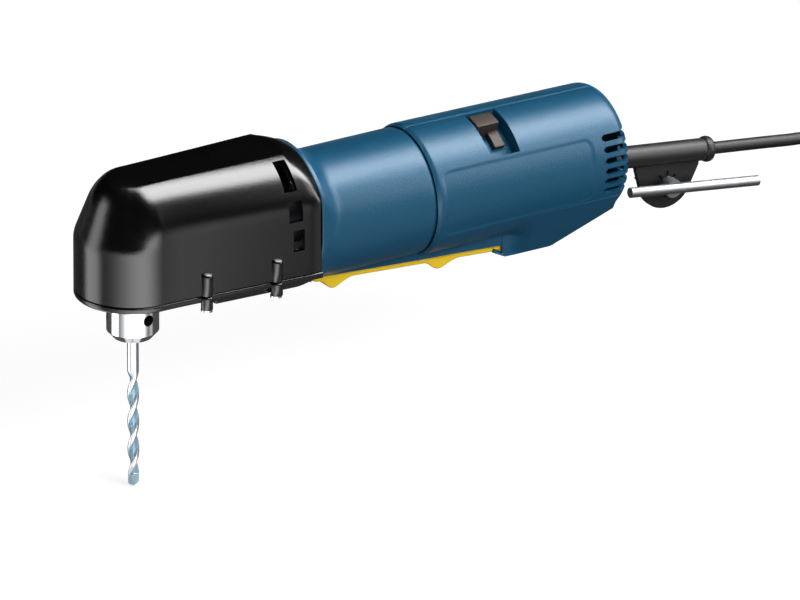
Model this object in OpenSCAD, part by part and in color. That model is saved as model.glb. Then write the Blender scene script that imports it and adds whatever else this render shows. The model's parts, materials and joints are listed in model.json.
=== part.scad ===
// Right angle drill: a corded hand tool with an angle head, a keyed chuck and a paddle switch.
// Lengths are millimetres. X runs along the motor axis to the rear, Z is up, the bit points down.
// Stations named ..._st are measured along X from the spindle axis.

/* [Head] */
// Radius of the head's round front, seen from above
head_r = 30; // [29:0.5:34]
// How far the head's rear edge stands out beside the barrel, on each side
head_proud = 2; // [1.5:0.1:5]
// Spindle axis to the rear edge of the head
head_len = 91.5; // [90:0.5:100]
// Height of the flat top above the barrel
head_rise = 10.2; // [8:0.1:13]
// Width of the flat top
head_flat_w = 26; // [22:1:32]
// Height above the motor axis where the front starts to lean back
head_front_h = 8.5; // [0:0.5:12]
// How far back the sloping front runs
head_slope_run = 13; // [12:0.1:20]
// How far the top falls to the head's rear edge
tail_drop = 3.4; // [2:0.1:4]
// How far the head's rear edge stands out above the barrel
head_rear_out = 8; // [7:0.5:9]
// Length over which the top falls to the rear edge
head_tail_run = 12; // [10:0.5:20]
// Wall of the head cover
head_wall = 2.5; // [1.8:0.1:3]
// Depth of the seam between cover and base below the motor axis
seam_drop = 16.7; // [15:0.1:18]
// Height of the base under the seam, at the front
base_h = 4.3; // [3.5:0.1:6]
// How much deeper the base is behind the front bosses
base_step = 3.5; // [1:0.1:5]
// Radius of the screw bosses on the head's sides
boss_r = 3.1; // [2.8:0.1:4]
// Station of the front pair of bosses
boss_front_st = 25.2; // [20:0.1:30]
// Distance of the rear pair of bosses from the head's rear edge
boss_rear_back = 26.5; // [23.5:0.5:36.5]
// Distance of the vent windows' start from the head's rear edge
vent_back = 21; // [18.5:0.5:22.5]
// Length of a vent window along the tool
vent_w = 7.4; // [5:0.1:9]

/* [Gears] */
// Distance between the motor axis and the intermediate shaft
shaft_gap = 14; // [14:0.1:14.6]
// Teeth on the motor pinion
pinion_teeth = 6; // [6:1:6]
// Teeth on the reduction gear
gear_teeth = 29; // [29:1:29]
// Face width of the reduction gear
gear_face = 9; // [6:0.5:9]
// Teeth on the bevel pinion
bevel_teeth = 9; // [9:1:9]
// Teeth on the crown gear
crown_teeth = 38; // [38:1:38]
// Pitch radius of the crown gear
crown_r = 19; // [18.5:0.1:19.5]
// Face width of the bevel teeth
bevel_face = 6.5; // [5:0.5:7]
// Diameter of the spindle in its lower bearing
spindle_d = 10; // [9:0.5:11]
// Diameter of the intermediate shaft
mid_shaft_d = 8; // [7:0.5:9]

/* [Chuck] */
// Diameter of the chuck's nose
nose_d = 27; // [26:0.5:29]
// Depth of the chuck's end face below the motor axis
nose_drop = 44.5; // [43:0.5:50]
// Height of the cone at the chuck's end
nose_cone_h = 4; // [2:0.5:6]
// Diameter of the end face
nose_face_d = 20; // [19:0.5:22]
// Diameter of the toothed sleeve
sleeve_d = 35; // [34:0.5:37]
// Teeth around the sleeve
sleeve_teeth = 24; // [16:1:30]
// Diameter of the key's pilot holes
pilot_d = 6; // [5:0.1:6.5]
// Height of the pilot holes above the end face
pilot_h = 12.5; // [11:0.5:15]
// Diameter of a jaw
jaw_d = 6.4; // [6:0.1:6.6]
// Slant of the jaws to the spindle axis, in degrees
jaw_slant = 14; // [13:0.5:15]
// Length of a jaw
jaw_len = 24; // [18:0.5:24]

/* [Bit] */
// Diameter of the bit's shank
bit_shank_d = 5.9; // [5:0.1:6.4]
// Diameter over the flutes
bit_flute_d = 6; // [5:0.1:6.4]
// Diameter of the cutting tip
bit_tip_d = 6.4; // [6:0.1:7]
// Length of bit that stands out of the chuck
bit_out = 82.9; // [70:0.1:110]
// Length of the flutes
bit_flute_len = 56; // [45:1:65]
// Length in which a flute goes round once
bit_lead = 30.5; // [20:0.5:40]

/* [Housing] */
// Radius of the blue barrel
barrel_r = 33; // [32.5:0.1:34]
// Length of the barrel between head and rear housing
barrel_len = 67; // [62:0.5:72]
// How far the flange stands out over the head's rear edge
flange_lip = 0.4; // [0:0.1:2]
// How far the rear housing stands proud of the barrel
rear_step = 1.5; // [1:0.1:2.5]
// Length of the rear housing
rear_len = 120.5; // [119:0.5:130]
// Draft of the rear housing over its length, on the radius
rear_draft = 1.3; // [0.5:0.1:1.7]
// Wall of the barrel and the rear housing
shell_wall = 2.5; // [2:0.1:2.6]
// Radius of the rear housing's rounded end
rear_round = 8; // [4:0.5:9]
// How far the belly hangs below the round housing
belly_hang = 9.3; // [8.5:0.1:12.5]
// Width of the belly's flat bottom
belly_w = 27; // [26.5:0.5:30]
// Start of the belly behind the front of the rear housing
belly_from = 54; // [53:0.5:56]
// Length of the belly's flat bottom
belly_flat = 28.5; // [26:0.5:32]
// Number of cooling slots on each side of the rear end
slot_count = 6; // [4:1:7]
// Height of a cooling slot
slot_h = 2.7; // [1.5:0.1:3.2]
// Distance from one cooling slot to the next
slot_pitch = 5.7; // [5:0.1:6]
// Length of the cooling slots
slot_len = 17; // [14:0.5:20]

/* [Motor] */
// Length of the stator and armature stacks
stack_len = 50; // [46:0.5:51]
// Bore of the stator as a share of its outside
stator_bore_share = 0.563; // [0.555:0.001:0.58]
// Air gap between the armature and the stator
air_gap = 0.7; // [0.6:0.1:3]
// Diameter of the armature shaft
motor_shaft_d = 8; // [7:0.5:9]
// Radius of the commutator
commutator_r = 10; // [9:0.1:11]
// Radius of the cooling fan
fan_r = 22; // [18:0.5:23]
// Number of fan blades
fan_blades = 10; // [6:1:14]

/* [Paddle] */
// Width of the paddle
paddle_w = 22; // [18:0.5:22]
// Thickness of the paddle's plate
paddle_t = 2.7; // [2:0.1:2.8]
// How far the plate stands below the keel's edge at rest
paddle_show = 2.8; // [2:0.1:3]
// Depth of the front finger bump
bump_front_h = 4.6; // [2:0.1:6]
// Depth of the rear finger bump
bump_rear_h = 4.4; // [2:0.1:6]

/* [Direction lever] */
// Start of the lever's recess behind the front of the rear housing
recess_from = 37.4; // [36:0.2:39]
// Length of the recess along the tool
recess_len = 18; // [16:0.5:19]
// Angle of the recess's lower end above the side, in degrees
recess_low = 38; // [32:0.5:40]
// Angle of the recess's upper end, in degrees
recess_high = 87; // [85:0.5:88]
// Depth of the recess
recess_depth = 4; // [3:0.1:4.2]
// Swing of the lever between its two ends, in degrees
lever_swing = 28; // [20:1:28]

/* [Cord] */
// Diameter of the cord
cord_d = 6.4; // [5.5:0.1:6.5]
// Diameter of the rubber boot
boot_d = 11.7; // [10:0.1:12.5]
// Length of the boot outside the housing
boot_len = 67; // [65:0.5:71]
// Depth of the boot's root below the motor axis
boot_drop = 9.5; // [7:0.5:11]
// Droop of the boot, in degrees
boot_droop = 6.8; // [6:0.1:8]
// Number of loops in the hank, inward and out again
hank_loops = 5; // [5:2:5]
// Length of the hank's straight runs
hank_run = 126; // [100:1:130]
// Radius of the hank's innermost fold
hank_fold_r = 19.4; // [19:0.1:21]
// Sideways step from loop to loop
hank_step = 7.6; // [7.4:0.1:8]

/* [Key] */
// Diameter of the key's bar
key_bar_d = 5.4; // [4:0.1:6]
// Length of the key's bar
key_bar_len = 78; // [60:1:90]
// Diameter of the key's shank
key_shank_d = 7.8; // [7:0.1:8.4]
// Thickness of the rubber key holder
holder_t = 3; // [2:0.1:4]

/* [Hidden] */
// Overrun of cuts past the faces they open
over = 1;
// Running clearance of turning and sliding fits, on the radius
run_gap = 0.05;
// Clearance between pieces that are put together and stay so
seat_gap = 0.2;
// Clearance round pieces that sweep past others
sweep_gap = 0.3;
// Origin on the motor axis in the middle of the barrel, where the hand holds it
grip_st = head_len + barrel_len / 2;

// Stations along the tool
rear_st = head_len + barrel_len;
end_st = rear_st + rear_len;

// Radii and depths that follow the barrel
head_w = 2 * (barrel_r + head_proud);
head_top = barrel_r + head_rise;
head_rear_top = head_top - tail_drop;
head_rear_r = barrel_r + head_rear_out;
flange_r = head_rear_r + flange_lip;
rear_r = barrel_r + rear_step;
rear_end_r = rear_r - rear_draft;
bore_r = rear_r - shell_wall;
belly_drop = rear_r + belly_hang;

// Head
head_shoulder_z = 7;
head_nose_r = 100;
head_lean = atan((head_w / 2 - head_r) / head_len);
head_low_r = 18;
head_high_r = 14;
head_depth = seam_drop + base_h + base_step;
slope_angle = atan2(head_top - head_front_h, head_slope_run);
tail_r = (pow(head_tail_run, 2) + pow(tail_drop, 2)) / (2 * tail_drop);
tail_angle = asin(head_tail_run / tail_r);
dome_rise = 6;
dome_run = 12;
arc_steps = 8;
seam_gap = 0.6;
boss_in = 0.6;
boss_top_drop = 4;
boss_rear_st = head_len - boss_rear_back;
vent_st = head_len - vent_back;
vent_low_drop = 1.3;
vent_low_top = 8.6;
vent_mid_low = 13.2;
vent_mid_top = 24.5;
vent_high_low = 29;
vent_edges = [-vent_low_drop, vent_low_top, vent_mid_low, vent_mid_top, vent_high_low, head_top + over];
cover_facets = 48;
vent_lean = 2;
vent_thin = 0.5;
vent_roof_y = head_flat_w / 2 + head_wall;
vent_side_y = head_r - 2 * head_wall;
chuck_hole_gap = 2;
rim_t = 1.8;
rim_h = 4;

// Screws
screw_d = 3;
screw_head_d = 6.4;
screw_head_h = 2.3;
boss_screw_h = 1.2;

// Gear case
plate_in = 6.5;
plate_t = 8;
plate_st = head_len - plate_in;
plate_end_st = plate_st + plate_t;
case_r = barrel_r - shell_wall - sweep_gap;
case_wall_t = 3.5;
case_floor_t = 7;
rail_gap = 0.8;
rail_front = 4;
mid_wall_t = 6;
mid_wall_gap = 3;
case_screw_d = 3.4;
case_screw_r = case_r - screw_head_d / 2;
// In degrees
case_screw_angles = [-20, 60, 120, 200];
case_boss_len = 8;
case_boss_r = barrel_r - shell_wall / 2 - case_screw_r;

// Gears
spur_module = 2 * shaft_gap / (pinion_teeth + gear_teeth);
spur_add_share = 0.75;
spur_low_share = 1.06;
bevel_r = crown_r * bevel_teeth / crown_teeth;
bevel_module = 2 * bevel_r / bevel_teeth;
bevel_add_share = 0.8;
bevel_low_share = 1.15;
tooth_root_share = 0.66;
tooth_tip_share = 0.2;
crown_root_share = 0.62;
crown_tip_share = 0.18;
crown_floor = 5.3;
rail_y = crown_r + bevel_module + rail_gap;
gear_gap = 2;
mid_bearing_t = 5;
mid_bearing_d = 16;
spindle_bearing_d = 22;
spindle_bearing_t = 6;
spindle_top_d = 8;
bearing_lip = 0.5;

// Heights in the head, from the spindle's lower bearing upwards
crown_bottom = shaft_gap - bevel_r - crown_floor;
bearing_top = crown_bottom - bearing_lip;
bearing_bottom = bearing_top - spindle_bearing_t;
top_bearing_z = shaft_gap + bevel_r + 2 * bevel_module;
top_boss_h = mid_bearing_t + 2 * bearing_lip;

// Chuck
nose_r = nose_d / 2;
chuck_top = bearing_bottom - 2 * bearing_lip;
sleeve_h = 17.5;
sleeve_lift = 22;
sleeve_bottom = sleeve_lift - nose_drop;
sleeve_wall = 2.3;
sleeve_grip_h = 6.5;
sleeve_tooth_h = 1.2;
sleeve_tooth_share = 0.5;
spindle_in = 9;
bit_bore_r = 5;
pilot_depth = 6;
// In degrees
pilot_angle = -84;
jaw_r = jaw_d / 2;
jaw_end_in = 1;
jaw_bite = 1.2;
jaw_root_r = bit_shank_d / 2 + jaw_r - jaw_bite;
bit_in = 15;
bit_core_share = 0.52;
bit_land_share = 0.32;
bit_tip_h = 7.7;
bit_point_h = 2;
bit_slices = 36;
bit_sides = 16;
bit_tip_z = -nose_drop - bit_out;

// Motor
motor_shaft_r = motor_shaft_d / 2;
motor_bearing_d = 22;
motor_bearing_t = 7;
rear_bearing_d = 19;
rear_bearing_t = 6;
rear_shaft_r = motor_shaft_r - bearing_lip;
fan_st = plate_end_st + motor_bearing_t + gear_gap;
fan_t = 8;
fan_disc_t = 2;
fan_blade_t = 1.5;
coil_out = 7;
stack_st = fan_st + fan_t + gear_gap + coil_out;
stack_end_st = stack_st + stack_len;
coil_gap = 0.5;
coil_seat = 1;
coil_t = 7.5;
stator_bore_r = case_r * stator_bore_share;
armature_r = stator_bore_r - air_gap;
coil_in_r = stator_bore_r + coil_seat;
coil_out_r = coil_in_r + coil_t;
window_h = 14;
winding_in = 2.8;
winding_gap = 1;
winding_r = armature_r - winding_in;
winding_in_r = motor_shaft_r + winding_gap;
armature_slots = 12;
armature_slot_w = 2.4;
armature_slot_depth = 3;
brush_plate_in = 29;
brush_plate_st = rear_st + brush_plate_in;
brush_plate_t = 6;
commutator_len = 16;
commutator_in = 3;
commutator_st = brush_plate_st + commutator_in;
commutator_cut_w = 0.6;
commutator_cut_depth = 1;
rear_bearing_back = 6;
shaft_out = 2;
rear_bearing_st = commutator_st + commutator_len + rear_bearing_back;
shaft_end_st = rear_bearing_st + rear_bearing_t + shaft_out;

// Brushes
brush_in_r = commutator_r + sweep_gap;
brush_w = 7;
brush_h = 6;
holder_wall = 1.5;
holder_gap = 1.5;
holder_in = 5;
holder_in_r = commutator_r + holder_gap;
holder_out_r = bore_r - holder_in;
brush_back = 7.2;
brush_len = holder_out_r - brush_in_r - brush_back;
holder_len = 10;
brush_plate_gap = 2;
brush_plate_in_r = commutator_r + brush_plate_gap;
brush_coil_r = 2.2;
brush_wire_r = 0.35;
brush_curls = 4;

// Rear housing
bevel_len = 2.5;
bevel_drop = 1.2;
collar_lip = 0.3;
collar_r = head_w / 2 + collar_lip;
flange_t = 2;
flange_run = 13.5;
spigot_len = 6;
spigot_r = bore_r - seat_gap;
barrel_bore_r = barrel_r - shell_wall;
belly_st = rear_st + belly_from;
belly_lip = 5.5;
belly_lip_h = 4.6;
belly_lean = 1.3;
belly_rise = 16.8;
belly_rise_run = 29;
keel_wall = 2;
keel_in_y = paddle_w / 2 + sweep_gap;
keel_out_y = keel_in_y + keel_wall;
keel_top_drop = barrel_r - 2 * shell_wall;
slot_top = 16.3;
slot_in_y = 20;
rib_lip = 2;
bearing_rib_t = rear_bearing_t + rib_lip;
rib_gap = 14;
tower_r = 4.5;
tower_hole_r = 1.6;
tower_mid_in = 66;
tower_end_in = 110;
tower_low_in = 100;
tower_high_z = 21;
tower_low_drop = 20;
tower_places = [[tower_mid_in, tower_high_z], [tower_end_in, tower_high_z], [tower_low_in, -tower_low_drop]];
floor_t = 1.6;
floor_r = rear_r - recess_depth;
recess_side = 1.8;
lever_band_t = 1;
// In degrees
recess_turn = 2;
// In degrees
lever_knob_low = 70.5;
// In degrees
lever_knob_high = 82.5;
// In degrees
lever_band_low = 45.5;
// In degrees
lever_band_turn = 1;
// In degrees
lever_stem_low = 72.5;
// In degrees
lever_stem_high = 80.5;
lever_stem_len = 4;
lever_in = 1.2;
lever_band_share = 0.45;
lever_arm_t = 2.8;
lever_arm_gap = 0.5;

// Paddle and switch gear
pivot_back = 6;
pivot_in = 2;
pivot_st = head_len + pivot_back;
pivot_drop = barrel_r - pivot_in;
paddle_pin_d = 2.4;
paddle_eye_r = 2.2;
paddle_end_in = 6;
paddle_proud = 0.2;
paddle_hang = 5;
bump_front_back = 20;
bump_rear_in = 16;
paddle_end_st = belly_st + paddle_end_in;
paddle_front_drop = barrel_r + paddle_proud;
paddle_rear_drop = rear_r + paddle_hang;
bump_front_st = head_len + bump_front_back;
bump_rear_st = rear_st + bump_rear_in;
bump_run = 14;
plunger_in = 4;
plunger_st = belly_st + plunger_in;
plunger_r = 2.4;
plunger_collar_r = 4.2;
plunger_collar_t = 1;
plunger_lift = 3.4;
plunger_len = 13;
switch_in = 10;
spring_room = 1.4;
switch_st = belly_st + switch_in;
switch_len = 17.5;
switch_w = 18;
switch_top_drop = 14;
switch_nose_w = 14;
switch_nose_h = 8;
switch_nose_len = 12.5;
module_h = 7.7;
module_w = 20;
suppressor_r = 6;
spring_coil_r = 3.4;
spring_wire_r = 0.35;
spring_curls = 4;

// Cord, boot and key
cord_r = cord_d / 2;
boot_r = boot_d / 2;
boot_tail = 16;
boot_flange_r = 8;
boot_flange_t = 2;
boot_collar_lip = 0.9;
boot_collar_r = boot_r + boot_collar_lip;
boot_collar_len = 5;
clamp_len = 6;
clamp_w = 18;
clamp_h = 5;
holder_along = 41;
holder_below = 14;
holder_round_r = 15.5;
holder_top_w = 44;
// In degrees
holder_turn = 75;
holder_hole_r = 4.3;
holder_slit_r = 7.2;
holder_slit_w = 0.9;
holder_slits = 8;
key_along = 41.5;
key_below = 16.5;
key_front_y = 9.3;
key_shank_end_y = 12;
key_head_r = 4.8;
key_head_len = 5.5;
key_cone_len = 3;
key_gear_r = 7.4;
key_gear_root_r = 5.8;
key_gear_len = 6;
key_teeth = 11;
key_pilot_r = pilot_d / 2 - run_gap;
key_pilot_len = 8;
bar_y = 8.5;
// In degrees
bar_tilt = 7.4;
bar_offset = 12.5;

// Plug and hank
floor_z = bit_tip_z;
tie_t = 0.8;
tie_w = 12;
layer_step = 7;
hank_waist_share = 0.93;
hank_rings = 24;
hank_sides = 6;
hank_low_z = floor_z + tie_t + cord_r + seat_gap;
hank_high_z = hank_low_z + layer_step;
hank_out_r = hank_fold_r + hank_step * hank_loops / 2;
hank_turn = hank_loops / 2;
hank_tail_share = 4 / 24;
tail_len = 46;
tail_steps = 8;
plug_in = 8;
relief_len = 26;
relief_r = 5;
relief_end_r = 4;
plug_len = 34;
plug_w = 34;
plug_t = 14;
plug_nose_w = 25;
plug_root_w = 12;
plug_z = floor_z + plug_t / 2;
pin_r = 2.4;
pin_len = 19;
pin_spacing = 19;
lead_sides = 8;

// Route of the free cord after the boot, from the spindle axis, down to the first run of the hank
lead_route = [
    [376, 0, -21], [392, 0, -23], [405, 1, -25], [417, 3, -30], [427, 6, -38],
    [433, 9, -49], [437, 13, -61], [440, 17, -73], [443, 22, -85], [447, 27, -96],
    [454, 31, -105], [463, 35, -111.5], [473, 37.5, -115]
];
hank_from_st = 494;

black_plastic = "#1d1d1f";
blue_plastic = "#1f5c80";
cast_metal = "#a9adb0";
steel = "#b9bcc0";
dark_steel = "#6d7074";
copper = "#b4703a";
rubber = "#161616";

// Shared shapes
module from_spindle() {
    translate([-grip_st, 0, 0]) children();
}

module rod_x(x0, x1, r, z = 0, y = 0) {
    translate([x0, y, z]) rotate([0, 90, 0]) cylinder(h = x1 - x0, r = r);
}

module tube_x(x0, x1, ro, ri, z = 0, y = 0) {
    difference() {
        rod_x(x0, x1, ro, z, y);
        rod_x(x0 - over, x1 + over, ri, z, y);
    }
}

module rod_y(y0, y1, r, x, z) {
    translate([x, y1, z]) rotate([90, 0, 0]) cylinder(h = y1 - y0, r = r);
}

module rod_z(z0, z1, r, x = 0, y = 0) {
    translate([x, y, z0]) cylinder(h = z1 - z0, r = r);
}

module tube_z(z0, z1, ro, ri) {
    difference() {
        rod_z(z0, z1, ro);
        rod_z(z0 - over, z1 + over, ri);
    }
}

module block(x, y, z) {
    translate([x[0], y[0], z[0]]) cube([x[1] - x[0], y[1] - y[0], z[1] - z[0]]);
}

// An outline in X and Z, carried from y0 to y1
module side_prism(points, y0, y1) {
    translate([0, y1, 0]) rotate([90, 0, 0]) linear_extrude(height = y1 - y0) polygon(points);
}

// An outline in Y and Z, carried from x0 to x1
module section_prism(x0, x1) {
    translate([x0, 0, 0]) rotate([90, 0, 90]) linear_extrude(height = x1 - x0) children();
}

// An outline of stations and radii, turned about the motor axis
module turned_x(points) {
    rotate([0, 90, 0]) rotate_extrude() polygon([for (p = points) [p[1], p[0]]]);
}

// Part of a ring about the motor axis, between two angles above the left side
module sector_x(x0, x1, r0, r1, a0, a1) {
    rotate([0, 90, 0]) rotate_extrude(angle = a1 - a0, start = 270 - a1)
        translate([r0, x0]) square([r1 - r0, x1 - x0]);
}

function arc_points(c, r, a0, a1) = [
    for (i = [0:arc_steps]) let (a = a0 + (a1 - a0) * i / arc_steps) c + r * [cos(a), sin(a)]
];

// Straight-sided teeth; the shares are of half a tooth's angle
function gear_points(n, root_r, tip_r, root_share, tip_share, phase) = [
    for (i = [0:n - 1]) let (mid = phase + 360 * i / n, wide = 180 / n * root_share, thin = 180 / n * tip_share)
        for (p = [[root_r, -wide], [tip_r, -thin], [tip_r, thin], [root_r, wide]])
            p[0] * [cos(mid + p[1]), sin(mid + p[1])]
];

function unit(v) = v / norm(v);
function path_way(path, i) = unit(path[min(i + 1, len(path) - 1)] - path[max(i - 1, 0)]);

// A tube of flat facets along a path that never stands upright
module swept_tube(path, r, sides) {
    count = len(path);
    rings = [
        for (i = [0:count - 1])
            let (way = path_way(path, i), side = unit(cross(way, [0, 0, 1])), rise = cross(side, way))
                for (k = [0:sides - 1])
                    path[i] + r * (cos(360 * (k + 0.5) / sides) * side + sin(360 * (k + 0.5) / sides) * rise)
    ];
    walls = [
        for (i = [0:count - 2]) for (k = [0:sides - 1])
            let (a = i * sides + k, b = i * sides + (k + 1) % sides)
                each [[a, b, a + sides], [b, b + sides, a + sides]]
    ];
    caps = [
        for (k = [1:sides - 2])
            each [[0, k + 1, k], [(count - 1) * sides, (count - 1) * sides + k, (count - 1) * sides + k + 1]]
    ];
    polyhedron(points = rings, faces = concat(walls, caps));
}

function coil_path(r, h, curls, z0) = [
    for (i = [0:8 * curls]) [r * cos(45 * i), r * sin(45 * i), z0 + h * i / (8 * curls)]
];

// Head
function head_half_w(st) = head_r + (head_w / 2 - head_r) * st / head_len;

// The leaning front as distances from an axis far behind it, so that it is slightly round
function nose_points(inset) = let (
    low_reach = head_low_r * tan((90 - slope_angle) / 2),
    high_reach = head_high_r * tan(slope_angle / 2),
    turn = 90 + slope_angle,
    front = concat(
        arc_points([-head_r + head_low_r, head_front_h - low_reach], head_low_r - inset, 180, turn),
        arc_points([-head_r + head_slope_run + high_reach, head_top - head_high_r], head_high_r - inset, turn, 90)
    )
) concat(
    [[0, -head_depth - over], [head_nose_r - inset, -head_depth - over]],
    [for (p = front) [head_nose_r - head_r - p[0], p[1]]],
    [[0, head_top - inset]]
);

function tail_points(inset) = concat(
    [[head_len + over, -head_depth - over], [-2 * head_r, -head_depth - over], [-2 * head_r, head_top - inset]],
    arc_points([head_len - head_tail_run, head_top - tail_r], tail_r - inset, 90, 90 - tail_angle),
    [[head_len + over, head_rear_top - 2 * inset]]
);

// Half of the head's section: an upright wall that rounds over to the flat top
function half_section(inset) = concat(
    [[0, -head_depth - over], [head_r - inset, -head_depth - over]],
    [for (i = [0:arc_steps]) let (a = 90 * i / arc_steps) [
        head_flat_w / 2 + (head_r - inset - head_flat_w / 2) * cos(a),
        head_shoulder_z + (head_top - inset - head_shoulder_z) * sin(a)
    ]],
    [[0, head_top - inset]]
);

module head_plan(inset, past) {
    r = head_r - inset;
    w = head_w / 2 - inset;
    circle(r = r);
    polygon([
        [-r * sin(head_lean), r * cos(head_lean)], [head_len + past, w],
        [head_len + past, -w], [-r * sin(head_lean), -r * cos(head_lean)]
    ]);
}

module head_dome(inset) {
    edge = head_rear_r - inset;
    reach = [for (i = [0:arc_steps]) let (t = i / arc_steps) [head_len - dome_run * t, edge + dome_rise * sqrt(t)]];
    turned_x(concat(
        [[-2 * head_r, 0], [head_len + over, 0], [head_len + over, edge]],
        reach,
        [[-2 * head_r, edge + dome_rise]]
    ));
}

module head_form(inset) {
    past = inset > 0 ? over : 0;
    intersection() {
        union() {
            rotate_extrude() polygon(half_section(inset));
            for (s = [-1, 1]) rotate(s * head_lean) section_prism(0, head_len + head_wall + over)
                for (k = [0, 1]) mirror([k, 0]) polygon(half_section(inset));
        }
        translate([head_nose_r - head_r, 0, 0]) rotate_extrude() polygon(nose_points(inset));
        side_prism(tail_points(inset), -head_w, head_w);
        head_dome(inset);
        block([-head_w, head_len + past], [-head_w, head_w], [-head_depth, head_top]);
    }
}

module at_bosses() {
    for (st = [boss_front_st, boss_rear_st]) for (s = [-1, 1])
        translate([st, s * (head_half_w(st) - boss_in), 0]) children();
}

module vent_cuts() {
    for (s = [-1, 1]) mirror([0, s < 0 ? 1 : 0, 0]) for (i = [0:2]) {
        st = vent_st + vent_lean * (2 - i);
        block([st, st + vent_w - vent_thin * (2 - i)], [i == 2 ? vent_roof_y : vent_side_y, head_w],
            [vent_edges[2 * i], vent_edges[2 * i + 1]]);
    }
}

module head_cover() {
    $fn = cover_facets;
    color(black_plastic) from_spindle() difference() {
        union() {
            intersection() {
                head_form(0);
                block([-2 * head_r, head_len], [-head_w, head_w], [-seam_drop, head_top + over]);
            }
            at_bosses() rod_z(-seam_drop, -boss_top_drop, boss_r);
        }
        difference() {
            head_form(head_wall);
            at_bosses() rod_z(-head_depth, -boss_top_drop, boss_r);
        }
        at_bosses() rod_z(-seam_drop - over, -boss_top_drop - screw_d, screw_d / 2 + run_gap);
        vent_cuts();
    }
}

base_top = -seam_drop - seam_gap;
base_bottom = -seam_drop - base_h;

module head_base() {
    opening = sleeve_d / 2 + chuck_hole_gap;
    color(black_plastic) from_spindle() difference() {
        union() {
            translate([0, 0, base_bottom]) linear_extrude(height = base_top - base_bottom) head_plan(0, 0);
            translate([0, 0, -head_depth]) linear_extrude(height = base_step + over) difference() {
                head_plan(head_wall, 0);
                translate([boss_front_st - 2 * head_w, -head_w]) square([2 * head_w + 2 * boss_r, 2 * head_w]);
            }
            translate([0, 0, base_top - over]) linear_extrude(height = rim_h + over) difference() {
                head_plan(head_wall + seat_gap, 0);
                head_plan(head_wall + seat_gap + rim_t, over);
                translate([plate_st - over, -head_w]) square([head_w, 2 * head_w]);
            }
            at_bosses() rod_z(-head_depth, base_top, boss_r);
        }
        rod_z(-head_depth - over, 0, opening);
        at_bosses() rod_z(base_top, 0, boss_r + seat_gap);
        at_bosses() rod_z(-head_depth - over, 0, screw_d / 2 + run_gap);
    }
}

module head_screws() {
    color(steel) from_spindle() at_bosses() {
        rod_z(-head_depth - boss_screw_h / 2, -boss_top_drop - screw_d - over, screw_d / 2);
        rod_z(-head_depth - boss_screw_h, -head_depth, boss_r - run_gap);
    }
}

// Gear case and its bearings
module at_case_screws() {
    for (a = case_screw_angles) translate([0, case_screw_r * cos(a), case_screw_r * sin(a)]) children();
}

mid_wall_st = crown_r + 2 * bevel_module + mid_wall_gap;
arm_seat_end = plate_end_st + motor_bearing_t;

module gear_case() {
    color(cast_metal) from_spindle() difference() {
        union() {
            rod_x(plate_st, plate_end_st, case_r);
            rod_x(plate_end_st - over, arm_seat_end, motor_bearing_d / 2 + case_wall_t);
            for (s = [-1, 1]) mirror([0, s < 0 ? 1 : 0, 0])
                block([-rail_front, plate_st + over], [rail_y, rail_y + case_wall_t],
                    [bearing_bottom, shaft_gap + mid_bearing_d / 2]);
            intersection() {
                block([-head_r, boss_rear_st], [-rail_y - over, rail_y + over],
                    [bearing_bottom, bearing_bottom + case_floor_t - over]);
                union() {
                    rod_z(bearing_bottom - over, bearing_top + over, rail_y + case_wall_t);
                    block([0, boss_rear_st], [-head_r, head_r], [bearing_bottom - over, bearing_top + over]);
                }
            }
            block([mid_wall_st, mid_wall_st + mid_wall_t], [-rail_y - over, rail_y + over],
                [bearing_bottom, top_bearing_z + top_boss_h]);
            block([0, mid_wall_st + over], [-mid_bearing_d / 2, mid_bearing_d / 2],
                [top_bearing_z, top_bearing_z + top_boss_h]);
            rod_z(top_bearing_z, top_bearing_z + top_boss_h, mid_bearing_d / 2 + 2 * bearing_lip);
        }
        rod_z(bearing_bottom - over, bearing_top, spindle_bearing_d / 2);
        rod_z(top_bearing_z - over, top_bearing_z + mid_bearing_t + bearing_lip, mid_bearing_d / 2);
        rod_x(mid_wall_st - over, mid_wall_st + mid_bearing_t, mid_bearing_d / 2, shaft_gap);
        rod_x(mid_wall_st - over, mid_wall_st + mid_wall_t + over, mid_shaft_d / 2 + bearing_lip, shaft_gap);
        rod_x(plate_st - over, plate_st + mid_bearing_t, mid_bearing_d / 2, shaft_gap);
        rod_x(plate_st - over, plate_end_st + over, motor_shaft_r + bearing_lip);
        rod_x(plate_end_st, arm_seat_end + over, motor_bearing_d / 2);
        at_case_screws() rod_x(plate_st - over, plate_end_st + over, case_screw_d / 2 + run_gap);
        block([plate_st - over, head_len + seat_gap], [-head_w, head_w], [-head_w, base_top + seat_gap]);
    }
}

module case_screws() {
    color(steel) from_spindle() at_case_screws() {
        rod_x(plate_st - screw_head_h, plate_st, screw_head_d / 2);
        rod_x(plate_st - over, plate_end_st + case_boss_len - over, case_screw_d / 2);
    }
}

module spindle_lower_bearing() {
    color(dark_steel) from_spindle()
        tube_z(bearing_bottom, bearing_top, spindle_bearing_d / 2 - run_gap, spindle_d / 2 + run_gap);
}

module spindle_upper_bearing() {
    color(dark_steel) from_spindle()
        tube_z(top_bearing_z + bearing_lip, top_bearing_z + bearing_lip + mid_bearing_t,
            mid_bearing_d / 2 - run_gap, spindle_top_d / 2 + run_gap);
}

module intermediate_front_bearing() {
    color(dark_steel) from_spindle()
        tube_x(mid_wall_st, mid_wall_st + mid_bearing_t, mid_bearing_d / 2 - run_gap,
            mid_shaft_d / 2 + run_gap, shaft_gap);
}

module intermediate_rear_bearing() {
    color(dark_steel) from_spindle()
        tube_x(plate_st, plate_st + mid_bearing_t, mid_bearing_d / 2 - run_gap, mid_shaft_d / 2 + run_gap, shaft_gap);
}

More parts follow.
